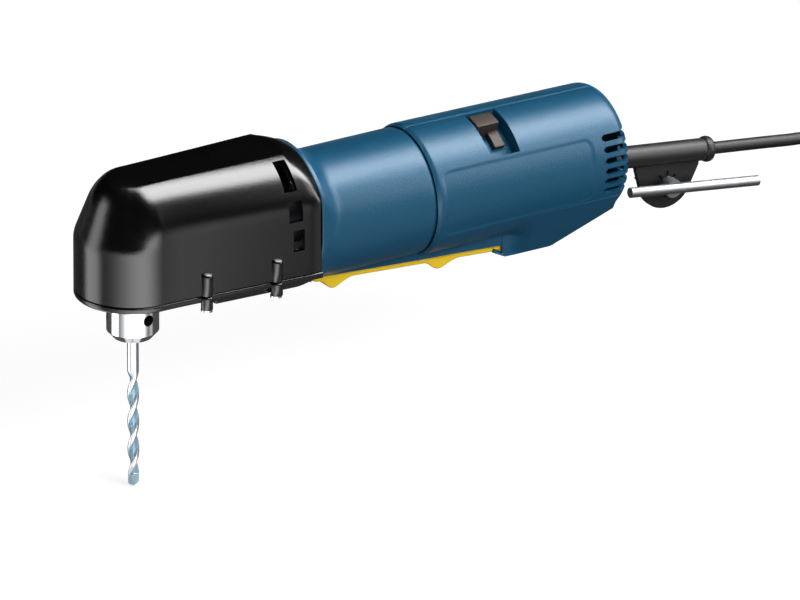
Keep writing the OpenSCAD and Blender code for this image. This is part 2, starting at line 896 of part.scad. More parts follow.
// Spindle and gears
module spindle() {
    color(steel) from_spindle() {
        rod_z(chuck_top - spindle_in, top_bearing_z, spindle_d / 2);
        rod_z(top_bearing_z - over, top_bearing_z + mid_bearing_t + bearing_lip, spindle_top_d / 2);
    }
}

function cone_drop(r, reach) = shaft_gap - (bevel_r + reach) * r / crown_r;

crown_out_r = crown_r + bevel_module;
crown_in_r = crown_out_r - bevel_face;
bevel_add = bevel_add_share * bevel_module;
bevel_low = bevel_low_share * bevel_module;

module crown_gear() {
    half = PI * crown_out_r / crown_teeth;
    grow = crown_out_r / crown_r;
    color(dark_steel) from_spindle() difference() {
        union() {
            rotate_extrude() polygon([
                [0, crown_bottom], [crown_out_r, crown_bottom],
                [crown_out_r, cone_drop(crown_out_r, bevel_low)],
                [crown_in_r, cone_drop(crown_in_r, bevel_low)],
                [0, cone_drop(crown_in_r, bevel_low)]
            ]);
            for (i = [0:crown_teeth - 1])
                rotate(360 * (i + 0.5) / crown_teeth) translate([crown_out_r, 0, shaft_gap]) rotate([90, 0, -90])
                    linear_extrude(height = bevel_face, scale = crown_in_r / crown_out_r) polygon([
                        [-half * crown_root_share, -(bevel_r + bevel_low + bevel_add / 2) * grow],
                        [half * crown_root_share, -(bevel_r + bevel_low + bevel_add / 2) * grow],
                        [half * crown_root_share, -(bevel_r + bevel_low) * grow],
                        [half * crown_tip_share, -(bevel_r - bevel_add) * grow],
                        [-half * crown_tip_share, -(bevel_r - bevel_add) * grow],
                        [-half * crown_root_share, -(bevel_r + bevel_low) * grow]
                    ]);
        }
        rod_z(crown_bottom - over, shaft_gap, spindle_d / 2 + run_gap);
    }
}

module intermediate_shaft() {
    grow = crown_out_r / crown_r;
    color(steel) from_spindle() {
        translate([crown_out_r, 0, shaft_gap]) rotate([0, -90, 0])
            linear_extrude(height = bevel_face, scale = crown_in_r / crown_out_r) polygon(
                gear_points(bevel_teeth, (bevel_r - bevel_low) * grow, (bevel_r + bevel_add) * grow,
                    tooth_root_share, tooth_tip_share, 180));
        rod_x(crown_out_r - over, mid_wall_st, mid_shaft_d / 2 - over, shaft_gap);
        rod_x(crown_out_r + over, plate_st + mid_bearing_t, mid_shaft_d / 2, shaft_gap);
    }
}

gear_end_st = plate_st - gear_gap;
spur_add = spur_add_share * spur_module;
spur_low = spur_low_share * spur_module;

module reduction_gear() {
    pitch_r = spur_module * gear_teeth / 2;
    color(dark_steel) from_spindle() difference() {
        translate([gear_end_st - gear_face, 0, shaft_gap]) rotate([90, 0, 90]) linear_extrude(height = gear_face)
            polygon(gear_points(gear_teeth, pitch_r - spur_low, pitch_r + spur_add,
                tooth_root_share, tooth_tip_share, -90 + 180 / gear_teeth));
        rod_x(gear_end_st - gear_face - over, gear_end_st + over, mid_shaft_d / 2 + run_gap, shaft_gap);
    }
}

// Chuck and bit
module at_jaw(i) {
    rotate(pilot_angle + 60 + 120 * i) translate([jaw_root_r, 0, -nose_drop + jaw_end_in])
        rotate([0, jaw_slant, 0]) children();
}

module chuck_body() {
    color("#d4d6d8") from_spindle() difference() {
        rotate_extrude() polygon([
            [0, -nose_drop], [nose_face_d / 2, -nose_drop], [nose_r, -nose_drop + nose_cone_h],
            [nose_r, chuck_top], [0, chuck_top]
        ]);
        rod_z(chuck_top - spindle_in, chuck_top + over, spindle_d / 2 + run_gap);
        rod_z(-nose_drop - over, chuck_top - spindle_in - 2 * over, bit_bore_r);
        for (i = [0:2]) {
            at_jaw(i) rod_z(-jaw_len, 1.5 * jaw_len, jaw_r + run_gap);
            rotate(pilot_angle + 120 * i) rod_x(nose_r - pilot_depth, nose_r + over, pilot_d / 2, pilot_h - nose_drop);
        }
    }
}

module chuck_sleeve() {
    sleeve_r = sleeve_d / 2;
    sleeve_top = sleeve_bottom + sleeve_h;
    tooth_w = 2 * PI * nose_r / sleeve_teeth * sleeve_tooth_share;
    color("#c6c8ca") from_spindle() {
        difference() {
            rod_z(sleeve_bottom, sleeve_top, sleeve_r);
            rod_z(sleeve_bottom - over, sleeve_top + over, nose_r + run_gap);
            rod_z(sleeve_bottom - over, sleeve_top - sleeve_grip_h, sleeve_r - sleeve_wall);
        }
        for (i = [0:sleeve_teeth - 1]) rotate(360 * i / sleeve_teeth)
            block([sleeve_r - sleeve_wall + run_gap, sleeve_r - 2 * run_gap], [-tooth_w / 2, tooth_w / 2],
                [sleeve_bottom - sleeve_tooth_h, sleeve_bottom + sleeve_tooth_h]);
    }
}

module chuck_jaw(i) {
    color(steel) from_spindle() difference() {
        at_jaw(i) rod_z(0, jaw_len, jaw_r);
        rod_z(-nose_drop - over, chuck_top, bit_shank_d / 2 + run_gap);
    }
}

module chuck_jaw_1() { chuck_jaw(0); }
module chuck_jaw_2() { chuck_jaw(1); }
module chuck_jaw_3() { chuck_jaw(2); }

// A round of two lands and two hollows, one point every 360 / bit_sides degrees
function flute_points(r) = [
    for (i = [0:bit_sides - 1]) let (a = 360 * i / bit_sides, hollow = pow(abs(sin(a)), 1 / bit_land_share))
        r * (1 - (1 - bit_core_share) * min(1, 2 * hollow)) * [cos(a), sin(a)]
];

module drill_bit() {
    flute_top = bit_tip_z + bit_tip_h + bit_flute_len;
    color("#7fb2cc") from_spindle() {
        rod_z(flute_top, -nose_drop + bit_in, bit_shank_d / 2);
        translate([0, 0, bit_tip_z + bit_tip_h]) linear_extrude(
            height = bit_flute_len, twist = -360 * bit_flute_len / bit_lead, slices = bit_slices)
            polygon(flute_points(bit_flute_d / 2));
        rod_z(bit_tip_z + bit_point_h, bit_tip_z + bit_tip_h, bit_tip_d / 2);
        translate([0, 0, bit_tip_z]) cylinder(h = bit_point_h, r1 = 0, r2 = bit_tip_d / 2);
    }
}

// Barrel and rear housing
function paddle_low(st) = -paddle_front_drop
    - (paddle_rear_drop - paddle_front_drop) * (st - pivot_st) / (paddle_end_st - pivot_st);
function keel_low(st) = paddle_low(st) + paddle_show;

module keel_walls(x0, x1) {
    edge = [[x0, -keel_top_drop], [x0, keel_low(x0)], [x1, keel_low(x1)], [x1, -keel_top_drop]];
    side_prism(edge, keel_in_y, keel_out_y);
    side_prism(edge, -keel_out_y, -keel_in_y);
}

module paddle_slot(x0, x1) {
    block([x0, x1], [-keel_in_y, keel_in_y], [-2 * rear_r, -keel_top_drop + 2 * over]);
}

// The barrel's front swells to meet the head: stations and radii or half widths
function flange_points(r) = [
    for (i = [0:arc_steps]) let (t = i / arc_steps)
        [head_len + flange_t + flange_run * t, barrel_r + (r - barrel_r) * pow(1 - t, 2)]
];

module motor_housing() {
    color(blue_plastic) from_spindle() difference() {
        union() {
            turned_x(concat(
                [[head_len, 0], [head_len, collar_r]], flange_points(collar_r),
                [[rear_st, barrel_r], [rear_st, spigot_r]],
                [[rear_st + spigot_len, spigot_r], [rear_st + spigot_len, 0]]
            ));
            intersection() {
                turned_x(concat([[head_len, 0], [head_len, flange_r]], flange_points(flange_r), [[rear_st, 0]]));
                linear_extrude(height = flange_r) for (s = [0, 1]) mirror([0, s])
                    polygon(concat([[head_len, 0], [head_len, collar_r]], flange_points(collar_r), [[rear_st, 0]]));
            }
            keel_walls(pivot_st, rear_st);
        }
        difference() {
            rod_x(head_len - over, rear_st + spigot_len + over, barrel_bore_r);
            at_case_screws()
                rod_x(plate_end_st + seat_gap, plate_end_st + seat_gap + case_boss_len, case_boss_r);
        }
        at_case_screws() rod_x(plate_end_st, plate_end_st + case_boss_len, case_screw_d / 2 + run_gap);
        paddle_slot(pivot_st - 2 * paddle_eye_r, rear_st + 2 * spigot_len);
        rod_y(-barrel_r, barrel_r, paddle_pin_d / 2 + run_gap, pivot_st, -pivot_drop);
    }
}

function belly_side(inset) = [
    [belly_st - over + inset, 0],
    [belly_st - over + inset, keel_low(belly_st) - over],
    [belly_st - belly_lip + 2 * inset, -belly_drop + belly_lip_h],
    [belly_st + belly_lean + inset, -belly_drop + inset],
    [belly_st + belly_flat - inset / 2, -belly_drop + inset],
    [belly_st + belly_flat + belly_rise_run - inset / 2, -belly_drop + belly_rise + inset],
    [belly_st + belly_flat + belly_rise_run - inset / 2, 0]
];

// A flat bottom with sides that run up to touch the round housing
module belly_section(inset) {
    low = [belly_w / 2 - inset, -belly_drop];
    r = (rear_r + rear_end_r) / 2 - inset;
    touch = atan2(low[1], low[0]) + acos(r / norm(low));
    polygon([low, r * [cos(touch), sin(touch)], r * [-cos(touch), sin(touch)], [-low[0], low[1]]]);
}

module belly_form(inset) {
    intersection() {
        side_prism(belly_side(inset), -rear_r, rear_r);
        section_prism(rear_st, end_st) belly_section(inset);
    }
}

module recess_block(grow, r0, r1) {
    x0 = rear_st + recess_from;
    sector_x(x0 - grow, x0 + recess_len + grow, r0, r1, recess_low - grow, recess_high + grow);
}

module slot_cuts() {
    for (i = [0:slot_count - 1]) for (s = [-1, 1]) mirror([0, s < 0 ? 1 : 0, 0])
        block([end_st - slot_len, end_st + over], [slot_in_y, rear_r + over],
            [slot_top - slot_pitch * i - slot_h / 2, slot_top - slot_pitch * i + slot_h / 2]);
}

module at_boot() {
    translate([end_st, 0, -boot_drop]) rotate([0, 90 + boot_droop, 0]) children();
}

module at_towers() {
    for (p = tower_places) translate([rear_st + p[0], 0, p[1]]) children();
}

module rear_shell() {
    round_x = end_st - rear_round;
    stem_x = rear_st + recess_from + recess_len;
    difference() {
        union() {
            difference() {
                union() {
                    turned_x(concat(
                        [[rear_st, 0], [rear_st, rear_r - bevel_drop], [rear_st + bevel_len, rear_r]],
                        arc_points([round_x, rear_end_r - rear_round], rear_round, 90, 0),
                        [[end_st, 0]]
                    ));
                    belly_form(0);
                    keel_walls(rear_st, belly_st);
                }
                turned_x([
                    [rear_st - over, 0], [rear_st - over, bore_r], [rear_bearing_st, bore_r],
                    [round_x, rear_end_r - shell_wall], [round_x, 0]
                ]);
                rod_x(round_x - over, end_st - shell_wall, rear_end_r - rear_round);
                belly_form(shell_wall);
            }
            difference() {
                rod_x(rear_bearing_st - over, rear_bearing_st - over + bearing_rib_t, bore_r + over);
                rod_x(rear_st, end_st, rear_bearing_d / 2);
                block([rear_st, end_st], [-switch_w / 2 - over, switch_w / 2 + over], [-2 * rear_r, -rib_gap + over]);
            }
            intersection() {
                recess_block(recess_side, floor_r - floor_t, bore_r + over);
                block([rear_st, end_st], [-rear_r, -seat_gap], [0, rear_r]);
            }
            intersection() {
                at_towers() rod_y(-bore_r, bore_r, tower_r, 0, 0);
                rod_x(rear_st, end_st, rear_end_r - shell_wall / 2);
            }
        }
        recess_block(0, floor_r, rear_r + over);
        sector_x(stem_x - 2 * lever_stem_len - over, stem_x - lever_stem_len + over, floor_r - 2 * floor_t, floor_r + over,
            lever_stem_low - lever_swing - recess_turn, lever_stem_high + recess_turn);
        sector_x(stem_x - recess_len * (1 - lever_band_share), stem_x - lever_in / 2, floor_r - run_gap, bore_r,
            lever_band_low - lever_swing - recess_turn, recess_low + over);
        slot_cuts();
        at_boot() rod_z(-3 * boot_flange_t, boot_len, boot_r + seat_gap);
        paddle_slot(rear_st - over, paddle_end_st + 2 * over);
        at_towers() rod_y(-bore_r + 2 * tower_r - seat_gap, rear_r, tower_hole_r, 0, 0);
        at_towers() rod_y(bore_r - 2 * tower_r, 2 * rear_r, screw_head_d / 2 + seat_gap, 0, 0);
    }
}

module rear_half(side) {
    color(blue_plastic) from_spindle() intersection() {
        rear_shell();
        mirror([0, side < 0 ? 1 : 0, 0])
            block([rear_st - over, end_st + over], [0, 2 * rear_r], [-2 * rear_r, 2 * rear_r]);
    }
}

module rear_housing_left() { rear_half(-1); }
module rear_housing_right() { rear_half(1); }

module housing_screws() {
    color(steel) from_spindle() at_towers() {
        rod_y(-bore_r + 2 * tower_r, bore_r - 2 * tower_r + over, screw_d / 2, 0, 0);
        rod_y(bore_r - 2 * tower_r, bore_r - 2 * tower_r + screw_head_h, screw_head_d / 2, 0, 0);
    }
}

// Motor
module stator_core() {
    color("#8d9094") from_spindle() section_prism(stack_st, stack_end_st) difference() {
        circle(r = case_r);
        circle(r = stator_bore_r);
        square([2 * (coil_out_r + coil_gap), window_h], center = true);
    }
}

module field_coils() {
    low = coil_gap / 2;
    high = window_h / 2 - coil_gap;
    color(copper) from_spindle() for (s = [0, 1]) mirror([0, 0, s]) {
        for (e = [-1, 1]) mirror([0, e < 0 ? 1 : 0, 0])
            block([stack_st - coil_out, stack_end_st + coil_out], [coil_in_r, coil_out_r], [low, high]);
        for (x = [stack_st - coil_out, stack_end_st + coil_gap]) difference() {
            tube_x(x, x + coil_out - coil_gap, coil_out_r, coil_in_r);
            block([x - over, x + coil_out + over], [-rear_r, rear_r], [-rear_r, low]);
        }
    }
}

module armature_shaft() {
    tip_st = gear_end_st - gear_face - gear_gap;
    pitch_r = spur_module * pinion_teeth / 2;
    color(steel) from_spindle() {
        rod_x(plate_st - bearing_lip, rear_bearing_st, motor_shaft_r);
        rod_x(rear_bearing_st - over, shaft_end_st, rear_shaft_r);
        translate([tip_st, 0, 0]) rotate([90, 0, 90]) linear_extrude(height = plate_st - tip_st)
            polygon(gear_points(pinion_teeth, pitch_r - spur_low, pitch_r + spur_add,
                tooth_root_share, tooth_tip_share, 90));
    }
}

module armature_core() {
    color("#777b80") from_spindle() section_prism(stack_st, stack_end_st) difference() {
        circle(r = armature_r);
        circle(r = motor_shaft_r + run_gap);
        for (i = [0:armature_slots - 1]) rotate(360 * i / armature_slots)
            translate([armature_r - armature_slot_depth, -armature_slot_w / 2])
                square([armature_slot_depth + over, armature_slot_w]);
    }
}

module armature_winding() {
    color(copper) from_spindle() for (x = [stack_st - coil_out, stack_end_st + run_gap])
        tube_x(x, x + coil_out - run_gap, winding_r, winding_in_r);
}

module commutator() {
    color(copper) from_spindle() section_prism(commutator_st, commutator_st + commutator_len) difference() {
        circle(r = commutator_r);
        circle(r = motor_shaft_r + run_gap);
        for (i = [0:2 * armature_slots - 1]) rotate(180 * i / armature_slots)
            translate([commutator_r - commutator_cut_depth, -commutator_cut_w / 2])
                square([commutator_cut_depth + over, commutator_cut_w]);
    }
}

module cooling_fan() {
    color("#d9d5c8") from_spindle() difference() {
        union() {
            rod_x(fan_st, fan_st + fan_disc_t, fan_r);
            rod_x(fan_st, fan_st + fan_t, motor_shaft_r + 2 * fan_disc_t);
            for (i = [0:fan_blades - 1]) rotate([360 * i / fan_blades, 0, 0])
                block([fan_st, fan_st + fan_t], [motor_shaft_r + fan_disc_t, fan_r - fan_blade_t],
                    [-fan_blade_t / 2, fan_blade_t / 2]);
        }
        rod_x(fan_st - over, fan_st + fan_t + over, motor_shaft_r + run_gap);
    }
}

module armature_front_bearing() {
    color(dark_steel) from_spindle()
        tube_x(plate_end_st, arm_seat_end, motor_bearing_d / 2 - run_gap, motor_shaft_r + run_gap);
}

module armature_rear_bearing() {
    color(dark_steel) from_spindle()
        tube_x(rear_bearing_st, rear_bearing_st + rear_bearing_t, rear_bearing_d / 2 - run_gap, rear_shaft_r + run_gap);
}

// Brush gear, which turns with the direction lever
plate_back_st = brush_plate_st + brush_plate_t;

module brush_plate() {
    color("#3b2f2a") from_spindle()
        tube_x(brush_plate_st, plate_back_st, bore_r - sweep_gap, brush_plate_in_r);
}

module at_brushes() {
    for (s = [0, 1]) mirror([0, s, 0]) translate([plate_back_st, 0, 0]) children();
}

module brush_holders() {
    wide = brush_w / 2 + holder_wall;
    high = brush_h / 2 + holder_wall;
    mid = holder_len / 2;
    color("#c9a24a") from_spindle() at_brushes() difference() {
        block([0, holder_len], [holder_in_r, holder_out_r], [-high, high]);
        block([mid - brush_w / 2 - run_gap, mid + brush_w / 2 + run_gap],
            [holder_in_r - over, holder_out_r - holder_wall], [-brush_h / 2 - run_gap, brush_h / 2 + run_gap]);
    }
}

module carbon_brushes() {
    mid = holder_len / 2;
    color("#2b2b2d") from_spindle() at_brushes()
        block([mid - brush_w / 2, mid + brush_w / 2], [brush_in_r, brush_in_r + brush_len], [-brush_h / 2, brush_h / 2]);
}

module brush_springs() {
    low = brush_in_r + brush_len + sweep_gap + brush_wire_r;
    high = holder_out_r - holder_wall - sweep_gap - brush_wire_r;
    color(steel) from_spindle() at_brushes() translate([holder_len / 2, 0, 0]) rotate([-90, 0, 0])
        swept_tube(coil_path(brush_coil_r, high - low, brush_curls, low), brush_wire_r, hank_sides);
}

module direction_lever() {
    x0 = rear_st + recess_from;
    x1 = x0 + recess_len;
    band_x = x1 - recess_len * lever_band_share;
    top_r = rear_r - run_gap;
    foot_r = floor_r + sweep_gap;
    arm_r = floor_r - floor_t - lever_arm_gap;
    color("#4a4340") from_spindle() {
        sector_x(x0 + lever_in, x1 - lever_in, foot_r, top_r, lever_knob_low, lever_knob_high);
        sector_x(band_x, x1 - lever_in, foot_r, foot_r + lever_band_t, lever_band_low, lever_knob_low + lever_band_turn);
        sector_x(x1 - 2 * lever_stem_len, x1 - lever_stem_len, arm_r - lever_arm_t, foot_r + over,
            lever_stem_low, lever_stem_high);
        sector_x(plate_back_st, x1 - lever_stem_len, arm_r - lever_arm_t, arm_r, lever_stem_low, lever_stem_high);
    }
}

// Paddle and switch
function bump(st, run, h) = [
    [st - run * 0.45, 0], [st - run * 0.3, h * 0.55], [st - run * 0.12, h * 0.95], [st, h],
    [st + run * 0.16, h * 0.9], [st + run * 0.4, h * 0.45], [st + run * 0.75, 0]
];

module switch_paddle() {
    front_st = pivot_st - paddle_eye_r;
    low_edge = concat(
        [[pivot_st, 0]],
        bump(bump_front_st, bump_run, bump_front_h),
        bump(bump_rear_st, bump_run, bump_rear_h),
        [[paddle_end_st, 0]]
    );
    color("#f2c230") from_spindle() difference() {
        union() {
            side_prism(concat(
                [for (p = low_edge) [p[0], paddle_low(p[0]) - p[1]]],
                [[paddle_end_st, paddle_low(paddle_end_st) + paddle_t], [pivot_st, paddle_low(pivot_st) + paddle_t]]
            ), -paddle_w / 2, paddle_w / 2);
            rod_y(-paddle_w / 2, paddle_w / 2, paddle_eye_r, pivot_st, -pivot_drop);
        }
        rod_y(-paddle_w, paddle_w, paddle_pin_d / 2 + run_gap, pivot_st, -pivot_drop);
    }
}

module paddle_pin() {
    reach = keel_in_y + keel_wall;
    color(steel) from_spindle() rod_y(-reach, reach, paddle_pin_d / 2, pivot_st, -pivot_drop);
}

plunger_low = paddle_low(plunger_st) + paddle_t + sweep_gap;
nose_low = plunger_low + plunger_collar_t + plunger_lift + 2 * sweep_gap + spring_room;

module trigger_switch() {
    color("#2c2d30") from_spindle() difference() {
        union() {
            block([switch_st, switch_st + switch_len], [-switch_w / 2, switch_w / 2],
                [-belly_drop + shell_wall + sweep_gap, -switch_top_drop]);
            block([switch_st - switch_nose_len, switch_st + over], [-switch_nose_w / 2, switch_nose_w / 2],
                [nose_low, nose_low + switch_nose_h]);
        }
        rod_z(nose_low - over, nose_low + switch_nose_h + over, plunger_r + run_gap, plunger_st);
    }
}

module switch_plunger() {
    color("#c8352b") from_spindle() {
        rod_z(plunger_low, plunger_low + plunger_len, plunger_r, plunger_st);
        rod_z(plunger_low + plunger_collar_t / 2, plunger_low + 1.5 * plunger_collar_t, plunger_collar_r, plunger_st);
    }
}

module plunger_spring() {
    low = plunger_low + 1.5 * plunger_collar_t + spring_wire_r + run_gap;
    high = nose_low - spring_wire_r - run_gap;
    color(steel) from_spindle() translate([plunger_st, 0, 0])
        swept_tube(coil_path(spring_coil_r, high - low, spring_curls, low), spring_wire_r, hank_sides);
}

module speed_module() {
    base = -switch_top_drop + seat_gap;
    color("#2f6b3c") from_spindle()
        block([switch_st, switch_st + switch_len], [-module_w / 2, module_w / 2], [base, base + module_h]);
}

module suppressor() {
    z = -switch_top_drop + 2 * seat_gap + module_h + suppressor_r;
    color("#d8c23a") from_spindle() rod_x(switch_st, switch_st + switch_len, suppressor_r, z);
}

// Cord, boot and key
module cord_boot() {
    color(rubber) from_spindle() at_boot() {
        rod_z(-boot_tail, over, boot_r - run_gap);
        rod_z(-3 * boot_flange_t - boot_flange_t, -3 * boot_flange_t, boot_flange_r);
        rod_z(0, boot_len, boot_r);
        rod_z(boot_len - boot_collar_len, boot_len, boot_collar_r);
    }
}

module cord_clamp() {
    color("#3a3b3d") from_spindle() at_boot() difference() {
        block([-boot_r - clamp_h, -boot_r / 2], [-clamp_w / 2, clamp_w / 2],
            [-boot_tail + over, -boot_tail + over + clamp_len]);
        rod_z(-2 * boot_tail, 0, boot_r + seat_gap);
    }
}

// A place beside the boot: so far along it, and so far below its axis
function boot_place(along, below) = [
    end_st + along * cos(boot_droop) - below * sin(boot_droop), 0,
    -boot_drop - along * sin(boot_droop) - below * cos(boot_droop)
];
key_st = boot_place(key_along, key_below)[0];
key_z = boot_place(key_along, key_below)[2];

module key_holder() {
    color(rubber) from_spindle() at_boot() difference() {
        translate([0, holder_t / 2, 0]) rotate([90, 0, 0]) linear_extrude(height = holder_t) difference() {
            polygon(concat(
                [[0, holder_along - holder_top_w / 2]],
                arc_points([holder_below, holder_along], holder_round_r, -holder_turn, 0),
                arc_points([holder_below, holder_along], holder_round_r, 0, holder_turn),
                [[0, holder_along + holder_top_w / 2]]
            ));
            translate([key_below, key_along]) {
                circle(r = holder_hole_r);
                for (i = [0:holder_slits - 1]) rotate(360 * i / holder_slits)
                    translate([0, -holder_slit_w / 2]) square([holder_slit_r, holder_slit_w]);
            }
        }
        rod_z(-over, 2 * boot_len, boot_r + run_gap);
    }
}

module chuck_key() {
    gear_y = key_shank_end_y;
    color("#8f9296") from_spindle() difference() {
        union() {
            rod_y(-key_front_y, key_shank_end_y + over, key_shank_d / 2, key_st, key_z);
            rod_y(-key_front_y, -key_front_y + key_head_len, key_head_r, key_st, key_z);
            translate([key_st, gear_y + key_gear_len, key_z]) rotate([90, 0, 0])
                linear_extrude(height = key_gear_len) polygon(
                    gear_points(key_teeth, key_gear_root_r, key_gear_r, tooth_root_share, tooth_tip_share, 0));
            rod_y(gear_y, gear_y + key_gear_len + key_pilot_len, key_pilot_r, key_st, key_z);
        }
        translate([key_st, -bar_y, key_z]) rotate([0, bar_tilt, 0])
            rod_x(-2 * key_head_r, 2 * key_head_r, key_bar_d / 2 + run_gap);
    }
}

module key_bar() {
    color(steel) from_spindle() translate([key_st, -bar_y, key_z]) rotate([0, bar_tilt, 0])
        rod_x(bar_offset - key_bar_len / 2, bar_offset + key_bar_len / 2, key_bar_d / 2);
}

// The boot's end, and the first steps of the cord straight out of it
function boot_point(t) = boot_place(t, 0);

// One stadium-shaped loop: u goes once round from 0 to 1, r is the fold's radius at that place
function hank_half(u) = u < 0.5 ? u : u - 0.5;
function hank_flat(u, r) = let (
    v = hank_half(u), s = u < 0.5 ? 1 : -1, run = hank_tail_share, h = hank_run / 2,
    along = v < run ? -h + hank_run * v / run : h + r * sin(180 * (v - run) / (0.5 - run)),
    wide = v < run ? r * (1 - (1 - hank_waist_share) * pow(sin(180 * v / run), 2))
        : r * cos(180 * (v - run) / (0.5 - run))
) [s * along, s * wide];

// Height of the cord in the hank: the upper layer first, then down along one run to the lower layer
function hank_level(t) = let (w = (t - hank_turn) / hank_tail_share)
    w <= 0 ? hank_high_z : w >= 1 ? hank_low_z : hank_high_z - layer_step * (1 - cos(180 * w)) / 2;

hank_mid_st = hank_from_st + hank_run / 2;
hank_end_st = hank_from_st + hank_run;

function hank_point(t) = let (
    u = t - floor(t), away = t < hank_turn ? hank_turn - t : max(0, t - hank_turn - hank_tail_share),
    p = hank_flat(u, hank_fold_r + hank_step * away)
) [hank_mid_st + p[0], p[1], hank_level(t)];

function hank_path(rings) = concat(
    [hank_point(0) - [cord_d, 0, 0]],
    [for (i = [0:rings * (hank_loops + hank_tail_share)]) hank_point(i / rings)],
    [
        for (i = [0:tail_steps]) let (t = i / tail_steps, w = (1 - cos(180 * t)) / 2)
            [hank_end_st + cord_d + (tail_len - 2 * cord_d) * t, hank_out_r - plug_in * w,
                hank_low_z + (plug_z - hank_low_z) * w],
        [hank_end_st + tail_len, hank_out_r - plug_in, plug_z]
    ]
);

function least_gap(path, skip) = min([
    for (i = [0:len(path) - 1 - skip]) min([for (j = [i + skip:len(path) - 1]) norm(path[i] - path[j])])
]) - cord_d;

module cord_lead() {
    start = hank_point(0) - [cord_d, 0, 0];
    path = concat(
        [boot_point(boot_len), boot_point(boot_len + cord_d)], lead_route,
        [start - [cord_d, 0, 0], start]
    );
    color(rubber) from_spindle() swept_tube(path, cord_r, lead_sides);
}

module cord_hank() {
    fine = 3 * hank_rings;
    echo(hank_gap = least_gap(hank_path(fine), fine / 3));
    color(rubber) from_spindle() swept_tube(hank_path(hank_rings), cord_r, hank_sides);
}

module cord_tie() {
    wide = hank_out_r * hank_waist_share + cord_r + 2 * seat_gap;
    high = hank_high_z + cord_r + seat_gap;
    color("#232325") from_spindle() translate([hank_mid_st, 0, 0]) difference() {
        block([-tie_w / 2, tie_w / 2], [-wide - tie_t, wide + tie_t], [floor_z, high + tie_t]);
        block([-tie_w, tie_w], [-wide, wide], [floor_z + tie_t, high]);
    }
}

plug_st = hank_end_st + tail_len;
plug_y = hank_out_r - plug_in;
plug_body_st = plug_st + relief_len;

module plug_body() {
    color(rubber) from_spindle() translate([0, plug_y, plug_z]) {
        translate([plug_st, 0, 0]) rotate([0, 90, 0]) cylinder(h = relief_len + over, r1 = relief_end_r, r2 = relief_r);
        translate([plug_body_st, 0, -plug_t / 2]) linear_extrude(height = plug_t) polygon([
            [0, -plug_root_w / 2], [plug_len / 3, -plug_w / 2], [2 * plug_len / 3, -plug_w / 2],
            [plug_len, -plug_nose_w / 2], [plug_len, plug_nose_w / 2], [2 * plug_len / 3, plug_w / 2],
            [plug_len / 3, plug_w / 2], [0, plug_root_w / 2]
        ]);
    }
}

module plug_pins() {
    x = plug_body_st + plug_len;
    color("#c9ccd0") from_spindle() translate([0, plug_y, plug_z]) for (s = [-1, 1])
        rod_x(x, x + pin_len, pin_r, 0, s * pin_spacing / 2);
}

head_cover();
head_base();
head_screws();
gear_case();
case_screws();
spindle();
crown_gear();
spindle_lower_bearing();
spindle_upper_bearing();
intermediate_shaft();
reduction_gear();
intermediate_front_bearing();
intermediate_rear_bearing();
chuck_body();
chuck_sleeve();
chuck_jaw_1();
chuck_jaw_2();
chuck_jaw_3();
drill_bit();
motor_housing();
rear_housing_left();
rear_housing_right();
housing_screws();
stator_core();
field_coils();
armature_shaft();
armature_core();
armature_winding();
commutator();
cooling_fan();
armature_front_bearing();
armature_rear_bearing();
brush_plate();
brush_holders();
carbon_brushes();
brush_springs();
direction_lever();
switch_paddle();
paddle_pin();
trigger_switch();
switch_plunger();
plunger_spring();
speed_module();
suppressor();
cord_boot();
cord_clamp();
key_holder();
chuck_key();
key_bar();
cord_lead();
cord_hank();
cord_tie();
plug_body();
plug_pins();
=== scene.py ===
import json
import math
import bmesh
import bpy
import numpy as np
from mathutils import Matrix, Vector


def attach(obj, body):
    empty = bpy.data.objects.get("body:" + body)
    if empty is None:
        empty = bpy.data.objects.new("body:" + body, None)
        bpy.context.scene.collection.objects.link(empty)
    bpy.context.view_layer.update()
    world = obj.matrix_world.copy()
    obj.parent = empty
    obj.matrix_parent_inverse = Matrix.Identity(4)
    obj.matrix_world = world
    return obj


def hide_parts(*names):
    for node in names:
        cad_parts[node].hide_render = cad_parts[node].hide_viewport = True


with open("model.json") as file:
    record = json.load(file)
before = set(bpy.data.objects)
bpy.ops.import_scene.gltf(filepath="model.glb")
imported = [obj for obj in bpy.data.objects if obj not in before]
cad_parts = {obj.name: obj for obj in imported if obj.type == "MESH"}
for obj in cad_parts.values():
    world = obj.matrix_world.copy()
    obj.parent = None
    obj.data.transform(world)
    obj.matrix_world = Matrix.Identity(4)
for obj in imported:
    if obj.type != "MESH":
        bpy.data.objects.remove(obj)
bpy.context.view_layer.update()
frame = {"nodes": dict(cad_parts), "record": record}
cadNodes = frame["nodes"]
scene = bpy.context.scene
scene.view_settings.view_transform = "Standard"
gripBack = 125.0   # mm from the spindle axis back to the row's origin
print("frame loaded with", len(cadNodes), "solids")


# mm from the spindle axis to metres in the row frame
def toRow(points):
    return (np.asarray(points, float) - (gripBack, 0.0, 0.0)) / 1000


# eased step: 0 below low, 1 above high, a cubic between them
def ease(x, low, high):
    t = np.clip((np.asarray(x, float) - low) / (high - low), 0, 1)
    return t * t * (3 - 2 * t)


# the larger of two arrays, with the crease between them rounded over about width
def softMax(a, b, width):
    h = np.maximum(width - np.abs(a - b), 0) / width
    return np.maximum(a, b) + h * h * width / 4


def softMin(a, b, width):
    return -softMax(-a, -b, width)


# a list of stops filled with evenly spaced steps no longer than step
def fillSteps(stops, step):
    parts = []
    for a, b in zip(stops, stops[1:]):
        count = max(2, int(math.ceil((b - a) / step)) + 1)
        parts.append(np.linspace(a, b, count)[:-1])
    return np.concatenate(parts + [[stops[-1]]])


# equal turns once round, without the last one, which is the first again
def fullTurn(steps):
    return np.linspace(0, 2 * np.pi, steps, endpoint=False)


def crossed(rows, columns):
    return np.meshgrid(rows, columns, indexing="ij")


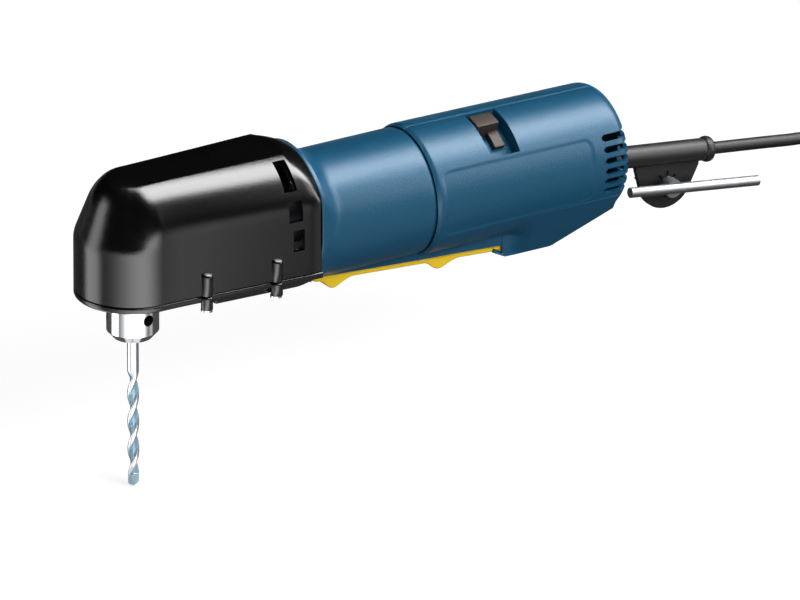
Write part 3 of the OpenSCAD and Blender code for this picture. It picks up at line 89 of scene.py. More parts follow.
# coordinates of matching shapes as one array of points
def pointsOf(x, y, z):
    return np.stack(np.broadcast_arrays(x, y, z), -1)


# round rows of points, closed at both ends by a row that lies in one point
def capped(rows, first, last):
    ends = [np.broadcast_to(np.asarray(end, float), (1, *rows.shape[1:])) for end in (first, last)]
    return {"points": np.concatenate([ends[0], rows, ends[1]]), "roundV": True}


# four corners of every cell of a u by v grid
def gridFaces(nu, nv, roundU=False, roundV=False):
    u, v = crossed(np.arange(nu if roundU else nu - 1), np.arange(nv if roundV else nv - 1))
    u2, v2 = (u + 1) % nu, (v + 1) % nv
    return np.stack([u * nv + v, u2 * nv + v, u2 * nv + v2, u * nv + v2], -1).reshape(-1, 4)


joinWithin = 2e-6   # metres, points of a piece this close become one
flatWithin = 1e-7   # metres, edges shorter than this go


# one mesh object from a list of point grids, in mm from the spindle axis
def meshPiece(name, grids, body, slot, stands=(), finish=None, wall=0, edge=0, edgeAngle=40, paint=None,
              outward=False):
    points, faces, start = [], [], 0
    for g in grids:
        p = np.asarray(g["points"], float)
        f = gridFaces(p.shape[0], p.shape[1], g.get("roundU", False), g.get("roundV", False))
        if "keep" in g:
            f = f[np.asarray(g["keep"], bool).reshape(-1)]
        points.append(p.reshape(-1, 3))
        faces.append((f[:, ::-1] if g.get("flip") else f) + start)
        start += p.shape[0] * p.shape[1]
    points, faces = toRow(np.concatenate(points)), np.concatenate(faces)
    mesh = bpy.data.meshes.new(name)
    mesh.from_pydata(points.tolist(), [], faces.tolist())
    if paint is not None:
        layer = mesh.attributes.new("paint", "FLOAT", "POINT")
        layer.data.foreach_set("value", np.asarray(paint, np.float32).reshape(-1))
    shape = bmesh.new()
    shape.from_mesh(mesh)
    bmesh.ops.remove_doubles(shape, verts=shape.verts, dist=joinWithin)
    bmesh.ops.dissolve_degenerate(shape, edges=shape.edges, dist=flatWithin)
    loose = [v for v in shape.verts if not v.link_faces]
    bmesh.ops.delete(shape, geom=loose, context="VERTS")
    if outward:
        bmesh.ops.recalc_face_normals(shape, faces=shape.faces)
    shape.to_mesh(mesh)
    shape.free()
    mesh.polygons.foreach_set("use_smooth", np.ones(len(mesh.polygons), bool))
    piece = bpy.data.objects.new(name, mesh)
    scene.collection.objects.link(piece)
    mesh.materials.append(finish or finishes[slotFinish[slot]])
    if wall:
        solid = piece.modifiers.new("wall", "SOLIDIFY")
        solid.thickness, solid.offset, solid.use_even_offset = wall / 1000, -1, False
    if edge:
        bevel = piece.modifiers.new("edge", "BEVEL")
        bevel.width, bevel.segments, bevel.limit_method = edge / 1000, 2, "ANGLE"
        bevel.angle_limit, bevel.use_clamp_overlap = math.radians(edgeAngle), True
        piece.modifiers.new("shade", "WEIGHTED_NORMAL").keep_sharp = True
    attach(piece, body)
    if stands:
        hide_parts(*stands)
    return piece


# a flat profile carried round an axis: rows are (along, radius), the axis runs from origin along way
def turned(profile, origin, way, steps=64):
    profile = np.asarray(profile, float)
    way = np.asarray(way, float) / np.linalg.norm(way)
    side = np.cross(way, (0, 1, 0) if abs(way[1]) < 0.9 else (1, 0, 0))
    side /= np.linalg.norm(side)
    rise = np.cross(way, side)
    turn = fullTurn(steps)[:, None, None]
    ring = np.cos(turn) * side + np.sin(turn) * rise
    along, radius = profile[None, :, :1], profile[None, :, 1:2]
    return {"points": np.asarray(origin) + along * way + radius * ring, "roundU": True}


# a round tube along a path, its frame carried from point to point without twist
def tubeAlong(path, radius, sides=16):
    path = np.asarray(path, float)
    way = np.gradient(path, axis=0)
    way /= np.linalg.norm(way, axis=1)[:, None]
    side = np.zeros_like(path)
    last = np.cross(way[0], (0.0, 0.0, 1.0))
    for i in range(len(path)):
        last = last - way[i] * (last @ way[i])
        last /= np.linalg.norm(last)
        side[i] = last
    rise = np.cross(way, side)
    turn = fullTurn(sides)[None, :, None]
    ring = np.cos(turn) * side[:, None] + np.sin(turn) * rise[:, None]
    return capped(path[:, None] + radius * ring, path[0], path[-1])


# sRGB hex to a linear colour
def ink(code):
    c = np.array([int(code[i:i + 2], 16) / 255 for i in (1, 3, 5)])
    return (*np.where(c <= 0.04045, c / 12.92, ((c + 0.055) / 1.055) ** 2.4), 1.0)


# one shader node with its settings, and links given as input: (node, output); numbers name sockets by place
def addNode(tree, kind, settings=None, links=None):
    node = tree.nodes.new("ShaderNode" + kind)
    for key, value in (settings or {}).items():
        if isinstance(key, str) and hasattr(node, key) and key not in node.inputs:
            setattr(node, key, value)
        else:
            node.inputs[key].default_value = value
    for key, (source, output) in (links or {}).items():
        tree.links.new(source.outputs[output], node.inputs[key])
    return node


# clears the node tree of a material or world, and gives the tree and its new output
def emptyTree(owner, output="OutputMaterial"):
    owner.use_nodes = True
    owner.node_tree.nodes.clear()
    return owner.node_tree, addNode(owner.node_tree, output)


finishKeys = ("ink", "ink2", "rough", "grainMm", "bump", "bumpMm")
finishDefaults = {"metal": 0.0, "spec": 0.5, "ior": 1.5, "roughSpread": 0.04, "cloudMm": 28.0,
                  "stretch": (1, 1, 1)}


# a surface from its numbers: two close colours mottled, a grain bump of a real size in mm, uneven gloss
def makeFinish(name, look):
    k = {**finishDefaults, **dict(zip(finishKeys, look)), **look[-1]}
    made = bpy.data.materials.new(name)
    tree, out = emptyTree(made)
    place = addNode(tree, "TexCoord")
    stretch = addNode(tree, "Mapping", {"Scale": k["stretch"]}, {"Vector": (place, "Object")})
    grain = addNode(tree, "TexNoise", {"Scale": 1000 / k["grainMm"], "Detail": 3, "Roughness": 0.6},
                    {"Vector": (stretch, "Vector")})
    cloud = addNode(tree, "TexNoise", {"Scale": 1000 / k["cloudMm"], "Detail": 4},
                    {"Vector": (place, "Object")})
    tint = addNode(tree, "Mix", {"data_type": "RGBA", 6: ink(k["ink"]), 7: ink(k["ink2"])},
                   {0: (cloud, "Fac")})
    gloss = addNode(tree, "MapRange", {
        "From Min": 0.3, "From Max": 0.7, "To Min": k["rough"] - k["roughSpread"],
        "To Max": k["rough"] + k["roughSpread"]}, {"Value": (grain, "Fac")})
    bump = addNode(tree, "Bump", {"Strength": k["bump"], "Distance": k["bumpMm"] / 1000},
                   {"Height": (grain, "Fac")})
    shade = addNode(tree, "BsdfPrincipled", {
        "Metallic": k["metal"], "Specular IOR Level": k["spec"], "IOR": k["ior"]},
        {"Base Color": (tint, 2), "Roughness": (gloss, "Result"), "Normal": (bump, "Normal")})
    tree.links.new(shade.outputs["BSDF"], out.inputs["Surface"])
    return made


# two close inks, roughness, grain in mm, bump and its depth in mm, and what differs from finishDefaults
looks = {
    # glass-filled nylon, moulded with a fine spark grain: near black, a soft broken highlight
    "blackNylon": ("#060606", "#090909", 0.2, 0.75, 0.7, 0.09, {"roughSpread": 0.06}),
    # the same nylon in petrol blue: matter, the grain scatters the highlight
    "blueNylon": ("#094d6d", "#0b5171", 0.36, 0.85, 0.9, 0.13, {"roughSpread": 0.07, "spec": 0.36}),
    # ABS, moulded and smooth: bright yellow with a clear soft gloss
    "yellowAbs": ("#fed326", "#ffd72e", 0.42, 1.2, 0.08, 0.03, {"spec": 0.2}),
    # moulded rubber: very dark, dull, slightly dusty
    "rubber": ("#0b0b0b", "#101010", 0.5, 0.7, 0.25, 0.05, {"roughSpread": 0.08, "spec": 0.4}),
    # extruded rubber jacket: dull black with fine draw marks
    "jacket": ("#0f0f10", "#151516", 0.5, 0.9, 0.2, 0.04, {"spec": 0.35}),
    # bright nickel-chrome plate over a turned body
    "chromePlate": ("#dcdde0", "#d5d6da", 0.12, 0.5, 0.03, 0.01, {"metal": 1.0, "roughSpread": 0.03}),
    # drawn bright steel: grey with fine lengthwise marks
    "drawnSteel": ("#96979a", "#85868a", 0.46, 0.5, 0.15, 0.02,
                   {"metal": 1.0, "roughSpread": 0.08, "stretch": (0.1, 1, 1)}),
    # zinc-plated steel screws
    "zincSteel": ("#c9cacc", "#b8b9bb", 0.25, 0.6, 0.1, 0.02, {"metal": 1.0}),
    # hardened gear steel with a film of grease
    "gearSteel": ("#77797d", "#65676b", 0.32, 0.5, 0.15, 0.02, {"metal": 1.0}),
    # die-cast aluminium, its ink darkened as painted shade so the gear case reads dark through the vent
    # windows
    "shadedCastAluminium": ("#4a4c4f", "#3d3f42", 0.55, 1.0, 0.35, 0.06, {"metal": 1.0}),
    # stacked laminations, varnished
    "coreSteel": ("#6b6c6f", "#5c5d60", 0.45, 0.6, 0.4, 0.06, {"metal": 1.0, "stretch": (8, 0.2, 0.2)}),
    # enamelled copper
    "copperWire": ("#b06a35", "#a35f2d", 0.3, 0.8, 0.4, 0.08, {"metal": 1.0}),
    # unfilled nylon, ivory
    "ivoryNylon": ("#d6cfb8", "#cfc8b0", 0.45, 1.0, 0.15, 0.04, {}),
    # phenolic moulding: warm dark grey-brown
    "phenolic": ("#342b29", "#3b322f", 0.5, 0.8, 0.3, 0.05, {"spec": 0.3}),
    # pressed brass
    "pressedBrass": ("#c8a152", "#b8924a", 0.3, 0.7, 0.15, 0.03, {"metal": 1.0}),
    # sintered carbon
    "carbon": ("#1c1c1d", "#262627", 0.6, 0.5, 0.3, 0.04, {}),
    # red moulded button
    "redPlastic": ("#b32018", "#a81c15", 0.4, 1.0, 0.1, 0.03, {}),
    # potted circuit board
    "circuitBoard": ("#1d4a2a", "#215231", 0.4, 1.4, 0.2, 0.05, {}),
    # moulded capacitor case
    "filmCase": ("#b9962e", "#b08e29", 0.4, 1.2, 0.1, 0.03, {}),
    # nickel-plated brass
    "nickelPlate": ("#d3d0c8", "#c8c5bd", 0.2, 0.6, 0.06, 0.02, {"metal": 1.0}),
}
finishes = {name: makeFinish(name, look) for name, look in looks.items()}
print("finishes made:", len(finishes))

# the record's slots and the finish that each one gets
slotFinish = {
    "black_nylon": "blackNylon", "blue_nylon": "blueNylon", "yellow_plastic": "yellowAbs", "rubber": "rubber",
    "cord_jacket": "jacket", "chrome": "chromePlate", "steel": "zincSteel", "gear_steel": "gearSteel",
    "cast_aluminium": "shadedCastAluminium", "core_steel": "coreSteel", "copper": "copperWire", "carbon": "carbon",
    "pale_nylon": "ivoryNylon", "brown_phenolic": "phenolic", "brass": "pressedBrass",
    "nickel": "nickelPlate", "red_plastic": "redPlastic", "circuit_board": "circuitBoard",
    "film_capacitor": "filmCase", "blue_paint": "drawnSteel",
}
nodeFinish = {"key_bar": "drawnSteel", "chuck_key": "drawnSteel", "chuck_body": "chuckPlate"}


# pilot holes of the chuck: inside the plated skin the bore is painted dark brown and not metallic, as painted
# shade in the holes
holeShade = {"skin": 13.3, "low": -35.6, "high": -28.4, "ink": "#2b1d17"}


def shadeHoles(made):
    k, tree = holeShade, made.node_tree
    shade = next(n for n in tree.nodes if n.type == "BSDF_PRINCIPLED")
    place = addNode(tree, "TexCoord")
    parts = addNode(tree, "SeparateXYZ", None, {"Vector": (place, "Object")})
    flat = addNode(tree, "CombineXYZ", {"Z": 0.0}, {"X": (parts, "X"), "Y": (parts, "Y")})
    far = addNode(tree, "VectorMath", {"operation": "DISTANCE", 1: (-gripBack / 1000, 0, 0)}, {0: (flat, 0)})
    tests = []
    for operation, source, output, limit in (
            ("LESS_THAN", far, "Value", k["skin"]), ("GREATER_THAN", parts, "Z", k["low"]),
            ("LESS_THAN", parts, "Z", k["high"])):
        tests.append(addNode(tree, "Math", {"operation": operation, 1: limit / 1000}, {0: (source, output)}))
    share = tests[0]
    for test in tests[1:]:
        share = addNode(tree, "Math", {"operation": "MULTIPLY"}, {0: (share, 0), 1: (test, 0)})
    metal = addNode(tree, "MapRange", {"To Min": 1.0, "To Max": 0.0}, {"Value": (share, 0)})
    tint = addNode(tree, "Mix", {"data_type": "RGBA", 7: ink(k["ink"])}, {0: (share, 0)})
    tree.links.new(shade.inputs["Base Color"].links[0].from_socket, tint.inputs[6])
    tree.links.new(tint.outputs[2], shade.inputs["Base Color"])
    tree.links.new(metal.outputs["Result"], shade.inputs["Metallic"])


# the chuck's chrome plate, with painted shade in its pilot holes
finishes["chuckPlate"] = makeFinish("chuckPlate", looks["chromePlate"])
shadeHoles(finishes["chuckPlate"])
solidShade = {"creaseTurn": 28.0, "joinWithin": 1e-6}   # degrees and metres
for part in frame["record"]["subparts"]:
    solid = cadNodes[part["node"]]
    solid.data.materials.clear()
    solid.data.materials.append(finishes[nodeFinish.get(part["node"], slotFinish[part["material_slot"]])])
    solid.data.polygons.foreach_set("use_smooth", np.ones(len(solid.data.polygons), bool))
    solid.modifiers.new("join", "WELD").merge_threshold = solidShade["joinWithin"]
    solid.modifiers.new("crease", "EDGE_SPLIT").split_angle = math.radians(solidShade["creaseTurn"])

# camera: a long lens from the photograph's side, 0.51 mm to a pixel of an 800 by 600 picture
lensView = {"lens": 1200.0, "sensor": 36.0, "pixelsWide": 800, "mmPerPixel": 0.51,
            "look": (0.034, 0.0, -0.0604), "up": (0.205, 0.332, 0.92), "back": (-0.482, -0.784, 0.39),
            "clip": (0.1, 200)}
camera = bpy.data.objects.new("camera", bpy.data.cameras.new("camera"))
scene.collection.objects.link(camera)
scene.camera = camera
camera.data.lens, camera.data.sensor_width = lensView["lens"], lensView["sensor"]
back = Vector(lensView["back"]).normalized()
side = Vector(lensView["up"]).cross(back).normalized()
lift = back.cross(side)
reach = lensView["lens"] / lensView["sensor"] * lensView["pixelsWide"] * lensView["mmPerPixel"] / 1000
spot = Vector(lensView["look"]) + back * reach
camera.matrix_world = Matrix.Translation(spot) @ Matrix((side, lift, back)).transposed().to_4x4()
camera.data.clip_start, camera.data.clip_end = lensView["clip"]

# cord: the lead droops from the boot to the floor and runs into a hank held by a tie
cordLook = {"diameter": 6.4, "bootX": 279.0, "bootDrop": 9.5, "droop": 6.8, "bootLen": 67.0,
            "floorZ": -127.4, "hankFrom": 494.0, "hankRun": 126.0, "foldRadius": 19.4, "step": 7.6,
            "loops": 5, "waist": 0.93, "runShare": 4 / 24, "layer": 7.0, "tieThick": 0.8, "gap": 0.2,
            "tail": 46.0, "plugIn": 8.0, "plugThick": 14.0}
leadRoute = [
    [376, 0, -21], [392, 0, -23], [405, 1, -25], [417, 3, -30], [427, 6, -38], [433, 9, -49], [437, 13, -61],
    [440, 17, -73], [443, 22, -85], [447, 27, -96], [454, 31, -105], [463, 35, -111.5], [473, 37.5, -115]]


# points in the boot's own frame: along its axis, below it and across it
def bootPlace(along, below, across=0.0):
    a = math.radians(cordLook["droop"])
    x = cordLook["bootX"] + along * math.cos(a) - below * math.sin(a)
    return pointsOf(x, across, -cordLook["bootDrop"] - along * math.sin(a) - below * math.cos(a))


# the hank: stadium loops that spiral in on the upper layer and out again on the lower one
def hankLine(t):
    c = cordLook
    half, runShare, turnAt = c["hankRun"] / 2, c["runShare"], c["loops"] / 2
    lowZ = c["floorZ"] + c["tieThick"] + c["diameter"] / 2 + c["gap"]
    u = t - np.floor(t)
    away = np.where(t < turnAt, turnAt - t, np.maximum(0, t - turnAt - runShare))
    r = c["foldRadius"] + c["step"] * away
    v, s = np.where(u < 0.5, u, u - 0.5), np.where(u < 0.5, 1.0, -1.0)
    bend = np.pi * np.clip((v - runShare) / (0.5 - runShare), 0, 1)
    onRun = v < runShare
    along = np.where(onRun, -half + 2 * half * v / runShare, half + r * np.sin(bend))
    wide = np.where(onRun, r * (1 - (1 - c["waist"]) * np.sin(np.pi * v / runShare) ** 2), r * np.cos(bend))
    drop = np.clip((t - turnAt) / runShare, 0, 1)
    z = lowZ + c["layer"] * (1 - (1 - np.cos(np.pi * drop)) / 2)
    return pointsOf(c["hankFrom"] + half + s * along, s * wide, z)


# a smooth curve through points, with the same number of steps on every stretch
def throughPoints(points, steps):
    p = np.asarray(points, float)
    p = np.concatenate([[2 * p[0] - p[1]], p, [2 * p[-1] - p[-2]]])
    t = np.linspace(0, 1, steps, endpoint=False)[None, :, None]
    a, b, c, d = p[:-3, None], p[1:-2, None], p[2:-1, None], p[3:, None]
    curve = 0.5 * (2 * b + (c - a) * t + (2 * a - 5 * b + 4 * c - d) * t ** 2
                   + (3 * b - a - 3 * c + d) * t ** 3)
    return np.concatenate([curve.reshape(-1, 3), p[-2:-1]])


cordThick = cordLook["diameter"]
hankStart = hankLine(np.array([0.0]))[0] - [cordThick, 0, 0]
leadStart = [bootPlace(cordLook["bootLen"] + past, 0) for past in (-1, cordThick)]
leadPath = throughPoints([*leadStart, *leadRoute, hankStart - [cordThick, 0, 0], hankStart], 6)
hankLoops = cordLook["loops"] + cordLook["runShare"]
hankTurns = hankLine(np.linspace(0, hankLoops, int(96 * hankLoops) + 1))
hankEnd = hankTurns[-1]
plugZ = cordLook["floorZ"] + cordLook["plugThick"] / 2
plugX = cordLook["hankFrom"] + cordLook["hankRun"] + cordLook["tail"]
plugY = hankEnd[1] - cordLook["plugIn"]
tailTurn = (1 - np.cos(np.linspace(0, np.pi, 33))) / 2   # an eased sidestep from the last run to the plug
tailPath = pointsOf(np.linspace(hankEnd[0] + cordThick, plugX - cordThick, 33),
                    hankEnd[1] - cordLook["plugIn"] * tailTurn,
                    hankEnd[2] + (plugZ - hankEnd[2]) * tailTurn)
cordPath = np.concatenate([leadPath[:-1], hankTurns, tailPath, [[plugX + 4, plugY, plugZ]]])
cord = meshPiece("mains_cord", [tubeAlong(cordPath, cordThick / 2)], "housing", "cord_jacket",
                 ("cord_lead", "cord_hank"))

# tie: a rubber band round the waist of the hank, flat section with rounded edges
tieLook = {"width": 12.0, "thick": cordLook["tieThick"], "corner": 3.2, "soft": 0.25}
tieHalf = (cordLook["foldRadius"] + cordLook["step"] * cordLook["loops"] / 2) * cordLook["waist"]
tieHalf = tieHalf + cordThick / 2 + 2 * cordLook["gap"]
tieLow = cordLook["floorZ"] + tieLook["thick"]
tieHigh = tieLow + cordLook["gap"] + cordThick / 2 + cordLook["layer"] + cordThick / 2 + cordLook["gap"]


def tieLoop():   # rounded rectangle round the hank, carried by a strip section
    turn = fullTurn(96)
    midZ, halfZ, r = (tieLow + tieHigh) / 2, (tieHigh - tieLow) / 2, tieLook["corner"]
    cy, cz = np.sign(np.cos(turn)) * (tieHalf - r), np.sign(np.sin(turn)) * (halfZ - r)
    inner = np.stack([cy + r * np.cos(turn), midZ + cz + r * np.sin(turn)], -1)
    outward = np.stack([np.cos(turn), np.sin(turn)], -1)
    w, t, soft = tieLook["width"] / 2, tieLook["thick"], tieLook["soft"]
    section = np.array([[-w, 0.1], [-w + soft, 0.0], [w - soft, 0.0], [w, 0.1],
                        [w, t - soft], [w - soft, t], [-w + soft, t], [-w, t - soft]])
    yz = inner[:, None] + section[None, :, 1:2] * outward[:, None]
    x = cordLook["hankFrom"] + cordLook["hankRun"] / 2 + section[None, :, 0]
    return {"points": pointsOf(x, yz[..., 0], yz[..., 1]), "roundU": True, "roundV": True}


tie = meshPiece("cord_tie_band", [tieLoop()], "housing", "rubber", ("cord_tie",), outward=True)

# plug: a flat moulded body with a ribbed relief, lofted from rounded sections
plugLook = {"relief": 26.0, "end": 60.0, "width": 34.0, "thick": 14.0, "nose": 25.0, "throat": 5.0,
            "ribs": (3, 23), "ribHigh": 0.35, "bodyX": (25, 37), "noseX": (47, 60), "squareX": (26, 36),
            "square": 0.55, "tipX": 57.0, "tipRun": 3.2, "tipIn": 2.2}


def plugLoft():
    k = plugLook
    x = np.array([0, 0.4, 2, 4, 5, 6, 8, 9, 10, 12, 13, 14, 16, 17, 18, 20, 21, 22, 24, 26, 27, 29, 32, 35,
                  38, 42, 46, 49, 52, 55, 57.5, 59, 59.7, 60], float)
    ribbed = (x > k["ribs"][0]) & (x < k["ribs"][1])
    relief = 4.0 + x / k["relief"] + np.where(ribbed, k["ribHigh"] * np.sin(x * np.pi / 2), 0.0)
    grow, nose, throat = ease(x, *k["bodyX"]), ease(x, *k["noseX"]), k["throat"]
    wide = throat + (k["width"] / 2 - throat) * grow - (k["width"] - k["nose"]) / 2 * nose
    tall = throat + (k["thick"] / 2 - throat) * grow
    tip = np.sqrt(np.clip(1 - ((x - k["tipX"]) / k["tipRun"]).clip(0) ** 2, 0, 1))
    whole = [np.where(x < k["bodyX"][0], relief, half) for half in (wide, tall)]
    halfW, halfT = [half - k["tipIn"] * (1 - tip) for half in whole]
    power = 1 - k["square"] * ease(x, *k["squareX"])   # round relief to a rounded rectangle
    turn = fullTurn(48)
    c, s = np.cos(turn)[None], np.sin(turn)[None]
    y = np.sign(c) * np.abs(c) ** power[:, None] * halfW[:, None]
    z = np.sign(s) * np.abs(s) ** power[:, None] * halfT[:, None]
    p = pointsOf(plugX + x[:, None], plugY + y, plugZ + z)
    return capped(p, (plugX, plugY, plugZ), (plugX + k["end"], plugY, plugZ))


plug = meshPiece("plug_moulding", [plugLoft()], "housing", "rubber", ("plug_body",), outward=True)
tuple(toRow(bootPlace(cordLook["bootLen"], 0)))
print("cord, tie and plug made")

# head: half circle front, sides opening to the rear, wall rounding over to a crease at the flat top,
# nose leaning back
head = {"radius": 30.0, "rearHalf": 36.2, "length": 91.5, "shoulderZ": 16.7, "shoulderRound": 29.7,
        "creaseTurn": 63.0, "seamZ": -16.7, "noseFrom": 12.6, "noseLean": 0.39, "noseSoft": 1.2,
        "noseSpan": 36.0, "browDrop": 12.0, "browIn": 6.5, "easeRun": 9.0, "topSpread": 0.6,
        "domeEdge": 41.2, "domeRise": 4.7, "domeRun": 12.0, "domeBow": 0.85, "domeOver": 9.0, "roll": 1.3,
        "rollRun": 8.0, "wall": 2.5, "edge": 0.45}
roofHalf = head["radius"] - head["shoulderRound"] * (1 - math.cos(math.radians(head["creaseTurn"])))
roofZ = head["shoulderZ"] + head["shoulderRound"] * math.sin(math.radians(head["creaseTurn"]))
# vent windows: stations, heights, and how far in over the top the last one reaches, near and far side
ventWindows = [(74.6, 81.0, -3.0, 8.6), (72.2, 80.0, 13.2, 24.4), (71.4, 78.6, 29.0, None)]
ventReach = (16.2, 18.3)


# rounds the roof's rear end down to the flange and rolls the rear edge of the walls in
def headTrim(p):
    k = head
    x, y, z = p[..., 0], p[..., 1], p[..., 2]
    t = np.clip((k["length"] - x) / k["domeRun"], 0, 1)
    past = ease(k["length"] - x, k["domeRun"] - 2, k["domeRun"] + 6)
    limit = k["domeEdge"] + k["domeRise"] * t ** k["domeBow"] + k["domeOver"] * past
    far = np.maximum(np.hypot(y, z), 1e-6)
    share = softMin(far, limit, 1.0) / far
    late = np.clip((x - k["length"] + k["rollRun"]) / k["rollRun"], 0, 1)
    return np.stack([x, y * share * (1 - k["roll"] / k["rearHalf"] * late ** 2), z * share], -1)


# plan of the head for a column of radii: straight sides and a round front, which may have radii of its own
def headPlan(radii, sideX, frontTurn, nose=None):
    k = head
    radii = np.asarray(radii, float)[None]
    nose = radii if nose is None else np.asarray(nose, float)[None]
    spread = (k["rearHalf"] - k["radius"]) / k["length"] * (
        1 - k["topSpread"] * (1 - np.clip((radii - roofHalf) / (k["radius"] - roofHalf), 0, 1)))
    sx = np.asarray(sideX, float)[:, None]
    # the sides leave the round front without a crease
    opened = sx - k["easeRun"] * (1 - np.exp(-sx / k["easeRun"]))
    right = np.stack([np.broadcast_to(sx, (len(sideX), radii.shape[1])), radii + spread * opened], -1)
    a = np.asarray(frontTurn, float)[:, None]
    bow = radii + (nose - radii) * ease(90 - np.abs(np.degrees(a) - 180), 0, k["noseSpan"])
    front = np.stack([bow * np.cos(a), bow * np.sin(a)], -1)
    return np.concatenate([right[::-1], front, right * (1, -1)])


# radius of the nose at each height: upright, then a cone that leans back and rounds over to the roof
def noseRadius(z):
    k = head
    leaning = k["radius"] - k["noseLean"] * (z - k["noseFrom"])
    cone = softMin(np.full_like(z, k["radius"]), leaning, k["noseSoft"])
    t = np.clip((z - roofZ + k["browDrop"]) / k["browDrop"], 0, 1)
    return cone - k["browIn"] * (1 - np.sqrt(1 - t * t))


def headCover():
    k = head
    levels = [z for w in ventWindows for z in w[2:] if z]
    wallZ = fillSteps([k["seamZ"], *[z for z in levels if z < k["shoulderZ"]], k["shoulderZ"]], 1.0)
    rises = [math.degrees(math.asin((z - k["shoulderZ"]) / k["shoulderRound"]))
             for z in levels if z > k["shoulderZ"]]
    over = np.radians(fillSteps([0, *rises, k["creaseTurn"]], 1.5)[1:])
    inward = np.array([0.977, 0.946, 0.85, 0.7, 0.5, 0.31, 0.12])
    shoulder = k["radius"] - k["shoulderRound"] * (1 - np.cos(over))
    heights = np.concatenate([wallZ, k["shoulderZ"] + k["shoulderRound"] * np.sin(over)])
    nose = noseRadius(heights)
    radii = np.concatenate([np.full(len(wallZ), k["radius"]), shoulder, roofHalf * inward])
    nose = np.concatenate([nose, nose[-1] * inward])
    heights = np.concatenate([heights, np.full(len(inward), heights[-1])])
    sideX = fillSteps(sorted({0.01, k["length"], *[x for w in ventWindows for x in w[:2]]}), 1.4)
    plan = headPlan(radii, sideX, np.linspace(0.5, 1.5, 97) * np.pi, nose)
    p = np.concatenate([plan, np.broadcast_to(heights[None, :, None], (*plan.shape[:2], 1))], -1)
    mid = p[:, -1:].copy()
    mid[..., 1] = 0
    p = np.concatenate([p, mid], 1)
    cells = (p[:-1, :-1] + p[1:, :-1] + p[:-1, 1:] + p[1:, 1:]) / 4
    radiusMid = np.concatenate([(radii[:-1] + radii[1:]) / 2, [0.5]])
    keep = np.ones(cells.shape[:2], bool)
    for x0, x1, z0, z1 in ventWindows:
        inX = (cells[..., 0] > x0) & (cells[..., 0] < x1)
        reachIn = np.where(cells[..., 1] < 0, *ventReach) if z1 is None else 0
        inZ = (cells[..., 2] > z0) & (cells[..., 2] < (z1 or 99)) & (radiusMid[None] > reachIn)
        keep &= ~(inX & inZ)
    return {"points": headTrim(p), "keep": keep}


# screw boss: a column with a slanted top that leans out of the wall
bosses = {"places": (25.2, 65.0), "radius": 3.1, "inset": 0.6, "topZ": -4.0, "footZ": -24.5, "slant": 1.6}


def bossColumn(x, sideSign, low, high, slant):
    spread = (head["rearHalf"] - head["radius"]) * x / head["length"]
    y = sideSign * (head["radius"] + spread - bosses["inset"])
    turn = fullTurn(40)
    r = bosses["radius"]
    lean = -slant * (1 + np.sin(turn) * sideSign) / 2
    # rows of the column: radius, height, whether it leans
    rows = [(0.0, low, 0), (r - 0.3, low, 0), (r, low + 0.3, 0), (r, (low + high) / 2, 0), (r, high - 0.9, 1),
            (r - 0.12, high - 0.45, 1), (r - 0.5, high - 0.12, 1), (r - 1.0, high, 1), (0.0, high, 1)]
    p = []
    for q, z, share in rows:
        top = z + share * lean * (q / r if q < r - 0.2 else 1)
        p.append(pointsOf(x + q * np.cos(turn), y + q * np.sin(turn), top))
    return {"points": np.stack(p, 1), "roundU": True}


coverBosses = [bossColumn(x, s, head["seamZ"], bosses["topZ"], bosses["slant"])
               for x in bosses["places"] for s in (-1, 1)]
meshPiece("gear_head_cover", [headCover()], "housing", "black_nylon", ("head_cover",), wall=head["wall"],
          edge=head["edge"])
meshPiece("cover_bosses", coverBosses, "housing", "black_nylon", outward=True)

# sole of the head: a closed section carried round the plan, deeper behind the front bosses
sole = {"topZ": -17.3, "rim": 3.7, "step": 3.5, "stepX": (30.8, 32.3), "riseX": (78.0, 95.0), "opening": 19.5}


def soleStep(x):   # how much of the step down there is at each station, 0 to 1
    return ease(x, *sole["stepX"]) * (1 - ease(x, *sole["riseX"]))


def headSole():
    sideX = fillSteps([0.01, 29, 34, head["length"]], 1.2)
    turn = np.linspace(0.5, 1.5, 65) * np.pi
    rim = sole["rim"]
    # rows of the section: how far in, its share of the step, how far down
    rows = np.array([(1.2, 0, 0), (0.25, 0, 0.15), (0, 0, 0.7), (0, 0, 2.2), (0.25, 0, 2.9), (0.8, 0, 3.4),
                     (1.7, 0, rim), (2.6, 0.02, rim), (2.75, 0.35, rim), (2.8, 0.7, rim), (3.1, 0.88, rim),
                     (3.8, 1, rim), (7, 1, rim)])
    plans = headPlan(head["radius"] - rows[:, 0], sideX, turn)
    drop = rows[None, :, 2] + soleStep(plans[..., 0]) * rows[None, :, 1] * sole["step"]
    outer = pointsOf(plans[..., 0], plans[..., 1], sole["topZ"] - drop)
    bottom = outer[:, -1:]
    along = np.arctan2(bottom[..., 1], bottom[..., 0] - 0.01)
    ring = np.stack([sole["opening"] * np.cos(along), sole["opening"] * np.sin(along)], -1)
    t = np.linspace(0.12, 1, 9)[None, :, None]
    floorXY = bottom[..., :2] * (1 - t) + ring * t
    depth = rim + sole["step"] * soleStep(floorXY[..., 0])
    floor = pointsOf(floorXY[..., 0], floorXY[..., 1], sole["topZ"] - depth)
    lip = pointsOf(ring[..., 0], ring[..., 1], sole["topZ"])
    return {"points": np.concatenate([outer, floor, lip, outer[:, :1]], 1)}


soleBosses = [bossColumn(x, s, bosses["footZ"], sole["topZ"], 0.0) for x in bosses["places"] for s in (-1, 1)]
meshPiece("gear_head_sole", [headSole(), *soleBosses], "housing", "black_nylon", ("head_base",))
print("head made")

